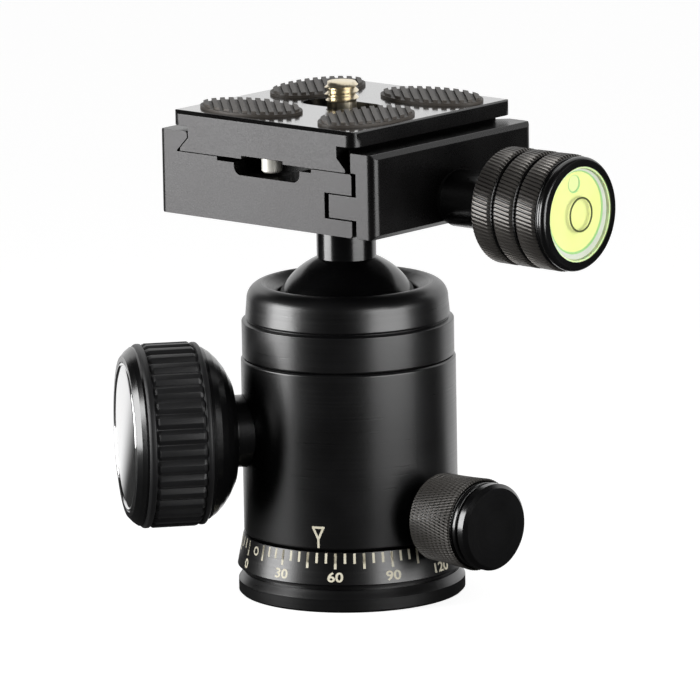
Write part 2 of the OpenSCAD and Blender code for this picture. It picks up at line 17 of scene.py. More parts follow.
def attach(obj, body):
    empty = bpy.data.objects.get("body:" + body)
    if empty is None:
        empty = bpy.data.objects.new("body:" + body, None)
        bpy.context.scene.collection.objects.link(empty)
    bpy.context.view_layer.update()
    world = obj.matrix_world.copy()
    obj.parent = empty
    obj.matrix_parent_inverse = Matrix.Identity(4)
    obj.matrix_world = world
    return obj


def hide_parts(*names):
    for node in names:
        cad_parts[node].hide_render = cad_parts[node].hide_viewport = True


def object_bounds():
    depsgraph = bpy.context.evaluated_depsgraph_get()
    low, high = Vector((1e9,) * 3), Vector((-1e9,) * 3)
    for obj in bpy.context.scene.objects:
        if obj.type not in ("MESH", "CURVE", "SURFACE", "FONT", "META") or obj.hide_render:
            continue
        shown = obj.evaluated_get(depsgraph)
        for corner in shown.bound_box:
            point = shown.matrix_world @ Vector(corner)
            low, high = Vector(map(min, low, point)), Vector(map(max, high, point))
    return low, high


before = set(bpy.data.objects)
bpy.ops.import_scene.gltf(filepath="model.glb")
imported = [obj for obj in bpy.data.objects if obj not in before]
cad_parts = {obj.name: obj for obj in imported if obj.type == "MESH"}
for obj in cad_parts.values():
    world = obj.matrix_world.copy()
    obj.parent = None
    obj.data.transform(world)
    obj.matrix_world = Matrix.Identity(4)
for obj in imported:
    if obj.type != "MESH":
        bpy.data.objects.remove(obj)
CAD_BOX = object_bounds()

MM = 0.001
METRES = Matrix.Scale(MM, 4)

# Angles between faces: what is shaded as one surface, what is rounded, and what is merged as flat.
SMOOTH_BELOW = math.radians(32)
EASED_ABOVE = math.radians(40)
FLAT_BELOW = math.radians(0.2)

# Closer than this, two corners are one, or a corner is on the axis. A cut is finer, in metres.
SAME_SPOT = 1e-6
CUT_WITHIN = 1e-7

# Steps across a rounded edge, and the most of a side that its rounding takes.
EDGE_STEPS = 3
SIDE_SHARE = 0.45

# How far paint and ridges reach into what they lie on, in millimetres.
SUNK = 0.1

# A Noise texture's detail, where its factor mostly stays, and how much of the roughness follows
# the marks.
NOISE_DETAIL = 2.0
NOISE_BAND = (0.3, 0.7)
MARKS_SHARE = 0.6

# Places of a colour Mix node's sockets.
MIX_FROM = 6
MIX_TO = 7
MIX_RESULT = 2

LOG = logging.getLogger("ball_head")

Colour = tuple[float, float, float]
Profile = list[tuple[float, float]]

# A number, tuple, text or socket that a node's setting or input takes.
Value = object


class Marks(Enum):
    """How a surface was last worked, which sets the fine pattern in its finish."""

    GRAIN = "even grain, as bead blasting or moulding leaves"
    TURNED = "fine rings about the finish's axis, as a lathe leaves"


@dataclass(frozen=True)
class Axis:
    """A turning axis through a point over the origin. Local +Z runs along it."""

    azimuth: float | None = None
    height: float = 0.0

    def matrix(self, scale: float = MM) -> Matrix:
        """How local coordinates turn and move into the frame's metres.

        Args:
            scale: Metres in one local unit.

        Returns:
            The matrix.
        """
        place = Matrix.Translation((0, 0, self.height * MM))
        if self.azimuth is not None:
            place = place @ Matrix.Rotation(math.radians(self.azimuth), 4, "Z")
            place = place @ Matrix.Rotation(math.pi / 2, 4, "Y")
        return place @ Matrix.Scale(scale, 4)


UPRIGHT = Axis()
MAIN_AXIS = Axis(230.8, 30.8)
PAN_AXIS = Axis(-5.0, 17.0)
CLAMP_AXIS = Axis(0.0, 76.4)
ENDS = (Vector((0, -1, 0)), Vector((0, 1, 0)))


@dataclass(frozen=True)
class Finish:
    """A surface finish: two close colours, a band of roughness, and fine marks.

    Args:
        name: Name of the material.
        slot: The record's material slot that it belongs to. Not used.
        colour: Main colour, linear.
        tint: Colour that the cloudy variation goes towards.
        rough: Lowest and highest roughness.
        marks: Kind of fine pattern.
        mark_size: Spacing of the marks, in millimetres.
        mark_depth: Height of the marks, in millimetres.
        cloud_size: Spacing of the colour's variation, in millimetres.
        sockets: Plain values for other sockets of the shader.
    """

    name: str
    slot: str
    colour: Colour
    tint: Colour
    rough: tuple[float, float]
    marks: Marks = Marks.GRAIN
    mark_size: float = 0.2
    mark_depth: float = 0.01
    cloud_size: float = 9.0
    sockets: tuple[tuple[str, float], ...] = ()

    def material(self, axis: Axis = UPRIGHT) -> bpy.types.Material:
        """The material, with its marks about an axis."""
        return finish_material(self, axis)


ANODISED = Finish(
    "anodised_satin", "black_anodised", (0.002, 0.002, 0.0022), (0.004, 0.004, 0.0044), (0.27, 0.35),
    Marks.TURNED, mark_size=0.35, mark_depth=0.004, sockets=(("Specular IOR Level", 0.9),))
KNOB_GLOSS = Finish(
    "anodised_gloss", "knob_black", (0.002, 0.002, 0.0022), (0.004, 0.004, 0.0043), (0.18, 0.26),
    Marks.TURNED, mark_size=0.3, mark_depth=0.003, sockets=(("Specular IOR Level", 0.9),))
KNURL_BLACK = Finish(
    "anodised_knurl", "knob_black", (0.085, 0.079, 0.073), (0.13, 0.121, 0.112), (0.26, 0.38),
    mark_size=0.12, mark_depth=0.008, sockets=(("Metallic", 0.65),))
BALL_GLOSS = Finish(
    "anodised_ball", "ball_black", (0.002, 0.002, 0.0022), (0.0035, 0.0035, 0.0038), (0.16, 0.22),
    Marks.TURNED, mark_size=0.3, mark_depth=0.003, sockets=(("Specular IOR Level", 0.7),))
CLAMP_SATIN = Finish(
    "clamp_satin", "clamp_anodised", (0.0035, 0.0033, 0.0034), (0.006, 0.0057, 0.0058), (0.24, 0.32),
    mark_size=0.16, mark_depth=0.006)
CLAMP_MILLED = Finish(
    "clamp_milled", "clamp_anodised", (0.038, 0.037, 0.038), (0.052, 0.05, 0.051), (0.38, 0.5),
    mark_size=0.3, mark_depth=0.02, sockets=(("Metallic", 0.35),))
PLATE_TOP = Finish(
    "plate_top", "clamp_anodised", (0.02, 0.0195, 0.02), (0.03, 0.029, 0.03), (0.12, 0.18),
    mark_size=0.3, mark_depth=0.001, sockets=(("Specular IOR Level", 1.0), ("Coat Weight", 1.0),
                                              ("Coat Roughness", 0.12)))
STEEL = Finish(
    "turned_steel", "steel", (0.5, 0.5, 0.52), (0.58, 0.57, 0.57), (0.2, 0.32),
    Marks.TURNED, mark_size=0.25, mark_depth=0.006, sockets=(("Metallic", 1.0),))
NICKEL = Finish(
    "satin_nickel", "steel", (0.84, 0.82, 0.74), (0.88, 0.86, 0.79), (0.36, 0.46),
    mark_size=0.15, mark_depth=0.006, sockets=(("Metallic", 0.3),))
MIRROR = Finish(
    "mirror_steel", "mirror_disc", (0.72, 0.72, 0.73), (0.76, 0.755, 0.75), (0.06, 0.12),
    Marks.TURNED, mark_size=0.5, mark_depth=0.001, sockets=(("Metallic", 1.0),))
BRASS = Finish(
    "turned_brass", "brass", (0.84, 0.74, 0.54), (0.9, 0.81, 0.63), (0.26, 0.38),
    Marks.TURNED, mark_size=0.25, mark_depth=0.005, sockets=(("Metallic", 1.0),))
NYLON = Finish(
    "white_nylon", "white_nylon", (0.7, 0.69, 0.65), (0.76, 0.75, 0.72), (0.4, 0.5),
    mark_size=0.3, mark_depth=0.006, sockets=(("Subsurface Weight", 0.1), ("Subsurface Scale", 0.001)))
BLACK_NYLON = Finish(
    "black_nylon", "black_nylon", (0.008, 0.008, 0.008), (0.014, 0.014, 0.014), (0.4, 0.5),
    mark_size=0.25, mark_depth=0.008)
FINE_KNURL = Finish(
    "anodised_fine_knurl", "knob_black", (0.062, 0.058, 0.053), (0.088, 0.082, 0.075), (0.4, 0.5),
    mark_size=0.1, mark_depth=0.008, sockets=(("Metallic", 0.4),))
RUBBER = Finish(
    "grip_rubber", "rubber", (0.006, 0.006, 0.0065), (0.011, 0.011, 0.012), (0.4, 0.52),
    mark_size=0.15, mark_depth=0.012, sockets=(("Sheen Weight", 0.05), ("Sheen Roughness", 0.5)))
PAD_RUBBER = Finish(
    "pad_rubber", "rubber", (0.06, 0.051, 0.043), (0.084, 0.072, 0.061), (0.5, 0.6),
    mark_size=0.15, mark_depth=0.012, sockets=(("Specular IOR Level", 0.4), ("Sheen Weight", 0.04)))
CREAM_PAINT = Finish(
    "cream_paint", "black_anodised", (0.78, 0.72, 0.55), (0.86, 0.82, 0.66), (0.45, 0.6),
    mark_size=0.12, mark_depth=0.006, cloud_size=1.5)
OLIVE_PAINT = Finish(
    "olive_paint", "level_cup", (0.06, 0.075, 0.015), (0.09, 0.1, 0.02), (0.5, 0.6),
    mark_size=0.1, mark_depth=0.003)
# Colours of painted shade and refraction under the level's window: the cup's wall seen through it, and
# the rim of the bubble.
GREEN_PAINTED_SHADE = Finish(
    "green_painted_shade", "level_cup", (0.3, 0.62, 0.2), (0.38, 0.7, 0.26), (0.2, 0.3),
    mark_size=0.4, mark_depth=0.002)
GREY_PAINTED_SHADE = Finish(
    "grey_painted_shade", "level_cup", (0.6, 0.63, 0.55), (0.72, 0.74, 0.66), (0.2, 0.3),
    mark_size=0.4, mark_depth=0.002)
CUP_PLASTIC = Finish(
    "cup_plastic", "level_cup", (0.72, 0.9, 0.42), (0.8, 0.95, 0.52), (0.2, 0.3),
    mark_size=0.5, mark_depth=0.004,
    sockets=(("Subsurface Weight", 0.2), ("Subsurface Scale", 0.001)))
FLUID = Finish(
    "level_liquid", "level_fluid", (0.93, 0.97, 0.34), (0.9, 0.96, 0.28), (0.1, 0.14),
    mark_size=2.0, mark_depth=0.001, cloud_size=6.0)
BUBBLE = Finish(
    "level_air", "level_bubble", (0.86, 0.95, 0.42), (0.82, 0.93, 0.36), (0.05, 0.08),
    mark_size=2.0, mark_depth=0.001)
LENS = Finish(
    "level_window", "level_lens", (0.9, 0.97, 0.82), (0.93, 1.0, 0.86), (0.03, 0.05),
    mark_size=2.0, mark_depth=0.0005, sockets=(("Alpha", 0.1), ("Specular IOR Level", 1.0)))


def shade_node(tree: bpy.types.NodeTree, kind: str, **settings: Value) -> bpy.types.Node:
    """Adds a node to a shader or geometry tree.

    Args:
        tree: Tree that gets the node.
        kind: Type of the node.
        settings: Values of the node's own settings.

    Returns:
        The node.
    """
    node = tree.nodes.new(kind)
    for key, value in settings.items():
        setattr(node, key, value)
    return node


def feed(tree: bpy.types.NodeTree, socket: bpy.types.NodeSocket, value: Value) -> None:
    """Links an input to another node's output, or sets its plain value.

    Args:
        tree: Tree that holds the nodes.
        socket: Input to feed.
        value: An output socket or a plain value.
    """
    if isinstance(value, bpy.types.NodeSocket):
        tree.links.new(value, socket)
    else:
        socket.default_value = value


def math_node(tree: bpy.types.NodeTree, operation: str, *values: Value) -> bpy.types.NodeSocket:
    """Adds a Math node.

    Args:
        tree: Tree that gets the node.
        operation: What it computes.
        values: Its inputs, in order.

    Returns:
        Its output.
    """
    node = shade_node(tree, "ShaderNodeMath", operation=operation)
    for socket, value in zip(node.inputs, values):
        feed(tree, socket, value)
    return node.outputs[0]


def noise(tree: bpy.types.NodeTree, size: float, **at: bpy.types.NodeSocket) -> bpy.types.NodeSocket:
    """Adds a Noise texture.

    Args:
        tree: Tree that gets the node.
        size: Size of its features, in millimetres.
        at: Coordinates, as Vector for three dimensions or W for one.

    Returns:
        Its factor.
    """
    node = shade_node(tree, "ShaderNodeTexNoise", noise_dimensions="1D" if "W" in at else "3D")
    node.inputs["Scale"].default_value = 1 / (size * MM)
    node.inputs["Detail"].default_value = NOISE_DETAIL
    for name, source in at.items():
        tree.links.new(source, node.inputs[name])
    return node.outputs["Fac"]


def spread(tree: bpy.types.NodeTree, value: Value, low: float, high: float) -> bpy.types.NodeSocket:
    """Maps a noise factor to a range.

    Args:
        tree: Tree that gets the node.
        value: The factor, which stays near a half.
        low: Lower end of the range.
        high: Upper end of the range.

    Returns:
        The mapped value.
    """
    node = shade_node(tree, "ShaderNodeMapRange")
    feed(tree, node.inputs["Value"], value)
    for name, number in zip(("From Min", "From Max", "To Min", "To Max"), (*NOISE_BAND, low, high)):
        node.inputs[name].default_value = number
    return node.outputs["Result"]


@cache
def finish_material(finish: Finish, axis: Axis) -> bpy.types.Material:
    """Builds the node material of a finish, once for each axis.

    Args:
        finish: What the surface looks like.
        axis: Axis that turned marks run round.

    Returns:
        The material.
    """
    made = bpy.data.materials.new(finish.name)
    made.use_nodes = True
    tree = made.node_tree
    shader = tree.nodes["Principled BSDF"]
    place = shade_node(tree, "ShaderNodeMapping", vector_type="TEXTURE")
    turn = axis.matrix(1.0)
    place.inputs["Location"].default_value = turn.to_translation()
    place.inputs["Rotation"].default_value = turn.to_euler()
    tree.links.new(shade_node(tree, "ShaderNodeTexCoord").outputs["Object"], place.inputs["Vector"])
    local = place.outputs["Vector"]
    cloud = noise(tree, finish.cloud_size, Vector=local)
    if finish.marks is Marks.TURNED:
        parts = shade_node(tree, "ShaderNodeSeparateXYZ")
        tree.links.new(local, parts.inputs[0])
        y_square = math_node(tree, "MULTIPLY", parts.outputs["Y"], parts.outputs["Y"])
        square = math_node(tree, "MULTIPLY_ADD", parts.outputs["X"], parts.outputs["X"], y_square)
        across = math_node(tree, "SQRT", square)
        marks = noise(tree, finish.mark_size, W=math_node(tree, "ADD", across, parts.outputs["Z"]))
    else:
        marks = noise(tree, finish.mark_size, Vector=local)
    mix = shade_node(tree, "ShaderNodeMix", data_type="RGBA")
    feed(tree, mix.inputs["Factor"], spread(tree, cloud, 0, 1))
    feed(tree, mix.inputs[MIX_FROM], (*finish.colour, 1))
    feed(tree, mix.inputs[MIX_TO], (*finish.tint, 1))
    tree.links.new(mix.outputs[MIX_RESULT], shader.inputs["Base Color"])
    clouded = math_node(tree, "MULTIPLY", cloud, 1 - MARKS_SHARE)
    both = math_node(tree, "MULTIPLY_ADD", marks, MARKS_SHARE, clouded)
    tree.links.new(spread(tree, both, *finish.rough), shader.inputs["Roughness"])
    bump = shade_node(tree, "ShaderNodeBump")
    bump.inputs["Distance"].default_value = finish.mark_depth * MM
    tree.links.new(marks, bump.inputs["Height"])
    tree.links.new(bump.outputs["Normal"], shader.inputs["Normal"])
    for name, value in finish.sockets:
        shader.inputs[name].default_value = value
    return made


def lathe(profile: Profile, steps: int = 120) -> bmesh.types.BMesh:
    """Turns a closed outline about local Z.

    Args:
        profile: Radius and height of each corner, in order round the outline.
        steps: Number of steps round the axis.

    Returns:
        The closed solid, in the profile's own units.
    """
    made = bmesh.new()
    rings = []
    for radius, height in profile:
        if radius < SAME_SPOT:
            rings.append([made.verts.new((0, 0, height))] * steps)
            continue
        turns = [math.tau * i / steps for i in range(steps)]
        rings.append([made.verts.new((radius * math.cos(turn), radius * math.sin(turn), height))
                      for turn in turns])
    for low, high in zip(rings, rings[1:] + rings[:1]):
        for i in range(steps):
            j = (i + 1) % steps
            corners = list(dict.fromkeys((low[i], low[j], high[j], high[i])))
            if len(corners) > 2:
                made.faces.new(corners)
    bmesh.ops.recalc_face_normals(made, faces=made.faces)
    return made


def rounded(profile: Profile, radius: float, steps: int = EDGE_STEPS) -> Profile:
    """Rounds each corner of a closed outline that is off the axis.

    Args:
        profile: Corners of the outline.
        radius: How far from a corner its rounding starts, at most.
        steps: Points in a corner's arc, less one.

    Returns:
        The outline with an arc for each corner.
    """
    made = []
    count = len(profile)
    for i, corner in enumerate(profile):
        here = Vector(corner)
        before = Vector(profile[i - 1]) - here
        after = Vector(profile[(i + 1) % count]) - here
        if here.x < SAME_SPOT:
            made.append(corner)
            continue
        cut = min(radius, SIDE_SHARE * before.length, SIDE_SHARE * after.length)
        start = here + before.normalized() * cut
        end = here + after.normalized() * cut
        for k in range(steps + 1):
            t = k / steps
            point = start * (1 - t) ** 2 + here * 2 * t * (1 - t) + end * t * t
            made.append((max(point.x, 0.0), point.y))
    return made


def to_mesh(name: str, made: bmesh.types.BMesh, place: Matrix) -> bpy.types.Mesh:
    """Turns a bmesh into a mesh at its place in the frame, with its gentle edges shaded smooth.

    Args:
        name: Name of the mesh.
        made: The bmesh, in local units, which is used up.
        place: Matrix from local units to the frame.

    Returns:
        The mesh.
    """
    mesh = bpy.data.meshes.new(name)
    made.transform(place)
    made.to_mesh(mesh)
    made.free()
    mesh.shade_smooth()
    mesh.set_sharp_from_angle(angle=SMOOTH_BELOW)
    return mesh


def joined(meshes: list[bpy.types.Mesh]) -> bmesh.types.BMesh:
    """Puts several meshes in one bmesh.

    Args:
        meshes: The meshes, which are used up.

    Returns:
        The bmesh.
    """
    made = bmesh.new()
    for mesh in meshes:
        made.from_mesh(mesh)
        bpy.data.meshes.remove(mesh)
    return made


def held(name: str, mesh: bpy.types.Mesh) -> bpy.types.Object:
    """Puts a mesh in an object of the scene, so that modifiers can work on it.

    Args:
        name: Name of the object.
        mesh: Its mesh.

    Returns:
        The object.
    """
    shape = bpy.data.objects.new(name, mesh)
    bpy.context.scene.collection.objects.link(shape)
    return shape


def plain(shape: bpy.types.Object) -> bpy.types.Mesh:
    """The mesh of an object with its modifiers applied.

    Args:
        shape: The object, which is removed.

    Returns:
        The plain mesh.
    """
    graph = bpy.context.evaluated_depsgraph_get()
    mesh = bpy.data.meshes.new_from_object(shape.evaluated_get(graph), depsgraph=graph)
    bpy.data.objects.remove(shape)
    return mesh


def eased(node: str, edge: float, clear: float | None = None) -> bpy.types.Mesh:
    """Copies a CAD node's mesh, merged, with its sharp edges rounded as a tumbled part's are.

    Args:
        node: Name of the CAD node.
        edge: Width of the rounding, in millimetres.
        clear: Only edges further than this from the origin's vertical are rounded, and they get the
            full width. Left out, all edges are, as wide as the surfaces leave room for.

    Returns:
        The new mesh, in the frame's coordinates.
    """
    made = bmesh.new()
    made.from_mesh(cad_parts[node].data)
    bmesh.ops.remove_doubles(made, verts=made.verts, dist=SAME_SPOT)
    bmesh.ops.dissolve_limit(made, angle_limit=FLAT_BELOW, verts=made.verts, edges=made.edges)
    weight = made.edges.layers.float.new("bevel_weight_edge")
    for line in made.edges:
        reach = min(corner.co.xy.length for corner in line.verts)
        if line.calc_face_angle(0.0) > EASED_ABOVE and reach > (clear or 0.0) * MM:
            line[weight] = 1.0
    mesh = bpy.data.meshes.new(node)
    made.to_mesh(mesh)
    made.free()
    mesh.shade_smooth()
    shape = held(node, mesh)
    bevel = shape.modifiers.new("edges", "BEVEL")
    bevel.width = edge * MM
    bevel.segments = EDGE_STEPS
    bevel.limit_method = "WEIGHT"
    bevel.use_clamp_overlap = clear is None
    normals = shape.modifiers.new("normals", "WEIGHTED_NORMAL")
    normals.keep_sharp = True
    return plain(shape)


class Growth:
    """A Geometry Nodes tree in the making, with named inputs and one geometry output."""

    def __init__(self, name: str, inputs: dict[str, str]) -> None:
        """Starts a tree.

        Args:
            name: Name of the tree.
            inputs: Type of each input socket, by its name, besides the geometry and material.
        """
        self.tree = bpy.data.node_groups.new(name, "GeometryNodeTree")
        panel = self.tree.interface
        panel.new_socket("Geometry", in_out="INPUT", socket_type="NodeSocketGeometry")
        for label, kind in {**inputs, "Material": "NodeSocketMaterial"}.items():
            panel.new_socket(label, in_out="INPUT", socket_type=kind)
        panel.new_socket("Geometry", in_out="OUTPUT", socket_type="NodeSocketGeometry")
        self.source = self.tree.nodes.new("NodeGroupInput")

    def given(self, label: str) -> bpy.types.NodeSocket:
        """The socket of a named input."""
        return self.source.outputs[label]

    def node(self, kind: str, **settings: Value) -> bpy.types.Node:
        """Adds a node."""
        return shade_node(self.tree, kind, **settings)

    def math(self, operation: str, *values: Value) -> bpy.types.NodeSocket:
        """Adds a Math node."""
        return math_node(self.tree, operation, *values)

    def finish(self, geometry: bpy.types.NodeSocket) -> None:
        """Ends the tree in Realize Instances and Set Material.

        Args:
            geometry: What the tree has made.
        """
        real = self.node("GeometryNodeRealizeInstances")
        paint = self.node("GeometryNodeSetMaterial")
        end = self.node("NodeGroupOutput")
        self.tree.links.new(geometry, real.inputs[0])
        self.tree.links.new(real.outputs[0], paint.inputs["Geometry"])
        self.tree.links.new(self.given("Material"), paint.inputs["Material"])
        self.tree.links.new(paint.outputs[0], end.inputs["Geometry"])

    def run(self, mesh: bpy.types.Mesh, material: bpy.types.Material,
            values: dict[str, Value]) -> bpy.types.Mesh:
        """Grows a mesh.

        Args:
            mesh: What the tree starts from.
            material: Material of the result.
            values: Value of each named input.

        Returns:
            The plain result.
        """
        shape = held(self.tree.name, mesh)
        growth = shape.modifiers.new("growth", "NODES")
        growth.node_group = self.tree
        for item in self.tree.interface.items_tree:
            if item.in_out == "INPUT" and item.name in values:
                growth[item.identifier] = values[item.name]
            elif item.in_out == "INPUT" and item.name == "Material":
                growth[item.identifier] = material
        return plain(shape)


@cache
def ring_array() -> Growth:
    """Repeats its mesh round local Z, and in rings along it.

    Returns:
        A tree with the inputs Count, Rings, and Pitch, which is the step from ring to ring.
    """
    growth = Growth("ring_array", {
        "Count": "NodeSocketInt", "Rings": "NodeSocketInt", "Pitch": "NodeSocketFloat"})
    links = growth.tree.links
    index = growth.node("GeometryNodeInputIndex").outputs[0]
    count = growth.given("Count")
    turn = growth.math("MULTIPLY", growth.math("DIVIDE", index, count), math.tau)
    ring = growth.math("FLOOR", growth.math("DIVIDE", growth.math("ADD", index, 0.5), count))
    spots = growth.node("GeometryNodePoints")
    links.new(growth.math("MULTIPLY", count, growth.given("Rings")), spots.inputs["Count"])
    place = growth.node("ShaderNodeCombineXYZ")
    links.new(growth.math("MULTIPLY", ring, growth.given("Pitch")), place.inputs["Z"])
    links.new(place.outputs[0], spots.inputs["Position"])
    facing = growth.node("ShaderNodeCombineXYZ")
    links.new(turn, facing.inputs["Z"])
    copies = growth.node("GeometryNodeInstanceOnPoints")
    links.new(spots.outputs[0], copies.inputs["Points"])
    links.new(growth.given("Geometry"), copies.inputs["Instance"])
    links.new(facing.outputs[0], copies.inputs["Rotation"])
    growth.finish(copies.outputs[0])
    return growth


def repeated(mesh: bpy.types.Mesh, material: bpy.types.Material, count: int, rings: int = 1,
             pitch: float = 0.0) -> bpy.types.Mesh:
    """Repeats a mesh round local Z.

    Args:
        mesh: What is repeated, in metres.
        material: Material of the result.
        count: Copies in each ring.
        rings: Number of rings along the axis.
        pitch: Step from ring to ring, in millimetres.

    Returns:
        The plain mesh of all copies.
    """
    return ring_array().run(mesh, material, {"Count": count, "Rings": rings, "Pitch": pitch * MM})


# Rows of corners in each pitch of a threaded wall, how steep the V's flanks are, and how far from
# the wall's radius a corner may be and still be cut, in millimetres.
THREAD_ROWS = 12
THREAD_FLANK = 1.15
WALL_BAND = 0.05


@cache
def screw_thread() -> Growth:
    """Cuts a right-handed V thread into the wall of a finely divided shape about local Z.

    Returns:
        A tree with the inputs Wall, the radius that is cut, Pitch, Depth, which is negative on
        a screw and positive in a nut, and Start and End, the heights between which it runs.
    """
    growth = Growth("screw_thread", {
        label: "NodeSocketFloat" for label in ("Wall", "Pitch", "Depth", "Start", "End")})
    links = growth.tree.links
    spot = growth.node("ShaderNodeSeparateXYZ")
    links.new(growth.node("GeometryNodeInputPosition").outputs[0], spot.inputs[0])
    x, y, z = spot.outputs
    radius = growth.math("SQRT", growth.math("MULTIPLY_ADD", x, x, growth.math("MULTIPLY", y, y)))
    turn = growth.math("DIVIDE", growth.math("ARCTAN2", y, x), math.tau)
    rise = growth.math("DIVIDE", z, growth.given("Pitch"))
    phase = growth.math("FRACT", growth.math("SUBTRACT", rise, turn))
    valley = growth.math("ABSOLUTE", growth.math("SUBTRACT", growth.math("MULTIPLY", phase, 2.0), 1.0))
    cut = growth.math("MINIMUM", growth.math("MULTIPLY", valley, THREAD_FLANK), 1.0)
    on_wall = growth.math("COMPARE", radius, growth.given("Wall"), WALL_BAND * MM)
    above = growth.math("GREATER_THAN", z, growth.given("Start"))
    below = growth.math("LESS_THAN", z, growth.given("End"))
    there = growth.math("MULTIPLY", on_wall, growth.math("MULTIPLY", above, below))
    shift = growth.math("MULTIPLY", growth.math("MULTIPLY", cut, there), growth.given("Depth"))
    stretch = growth.math("DIVIDE", shift, growth.math("MAXIMUM", radius, SAME_SPOT))
    offset = growth.node("ShaderNodeCombineXYZ")
    links.new(growth.math("MULTIPLY", x, stretch), offset.inputs["X"])
    links.new(growth.math("MULTIPLY", y, stretch), offset.inputs["Y"])
    move = growth.node("GeometryNodeSetPosition")
    links.new(growth.given("Geometry"), move.inputs["Geometry"])
    links.new(offset.outputs[0], move.inputs["Offset"])
    growth.finish(move.outputs[0])
    return growth


def skin(made: bmesh.types.BMesh, rows: list[list[bmesh.types.BMVert]]) -> None:
    """Joins rows of corners, each round one section, into a closed bar.

    Args:
        made: Mesh that holds the corners.
        rows: Corners of each section, from one end to the other.
    """
    for low, high in zip(rows, rows[1:]):
        for i in range(len(low)):
            j = (i + 1) % len(low)
            made.faces.new((low[i], low[j], high[j], high[i]))
    made.faces.new(rows[0])
    made.faces.new(rows[-1])


# A ridge's crest as a share of its foot, its height at the ends as a share of its full height, and
# its end slopes: at most this share of its length, and this many times its height.
RIB_CREST = 0.4
RIB_END = 0.1
RIB_SLOPE_SHARE = 0.35
RIB_SLOPE = 1.2


def rib(radius: float, start: float, end: float, width: float, height: float,
        slant: float = 0.0) -> bmesh.types.BMesh:
    """A low ridge along local Z on a cylinder, at the angle 0, with sloped ends.

    Args:
        radius: Radius that it stands on.
        start: Height where it starts.
        end: Height where it ends.
        width: Width of its foot.
        height: How far its crest stands out.
        slant: How far its far end is shifted sideways.

    Returns:
        The closed ridge, in millimetres.
    """
    made = bmesh.new()
    length = end - start
    slope = min(RIB_SLOPE_SHARE * length, RIB_SLOPE * height)
    foot = width / 2
    crest = RIB_CREST * foot
    rows = []
    for z, rise in ((start, RIB_END), (start + slope, 1.0), (end - slope, 1.0), (end, RIB_END)):
        shift = slant * (z - start) / length
        section = ((-foot, -SUNK), (-crest, height * rise), (crest, height * rise), (foot, -SUNK))
        rows.append([made.verts.new((radius + out, shift + side, z)) for side, out in section])
    skin(made, rows)
    bmesh.ops.recalc_face_normals(made, faces=made.faces)
    return made


class SubAssembly:
    """What each sub-assembly can do: dress CAD nodes and add pieces that ride on its bodies."""

    def dress(self, finish: Finish, *nodes: str, axis: Axis = UPRIGHT) -> None:
        """Gives CAD nodes a finish.

        Args:
            finish: What they look like.
            nodes: Names of the nodes.
            axis: Axis of the finish's marks.
        """
        for node in nodes:
            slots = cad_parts[node].data.materials
            slots.clear()
            slots.append(finish.material(axis))
            LOG.info("dressed %s in %s", node, finish.name)

    def add(self, name: str, mesh: bpy.types.Mesh, body: str, finish: Finish, axis: Axis = UPRIGHT,
            replaces: tuple[str, ...] = ()) -> bpy.types.Object:
        """Adds a piece.

        Args:
            name: Name of the piece.
            mesh: Its mesh, in the frame's coordinates.
            body: CAD body that it rides on.
            finish: What it looks like.
            axis: Axis of the finish's marks.
            replaces: CAD nodes that it stands for.

        Returns:
            The object.
        """
        mesh.materials.clear()
        mesh.materials.append(finish.material(axis))
        piece = bpy.data.objects.new(name, mesh)
        bpy.context.scene.collection.objects.link(piece)
        if replaces:
            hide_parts(*replaces)
        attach(piece, body)
        LOG.info("added %s on %s, %d faces", name, body, len(mesh.polygons))
        return piece


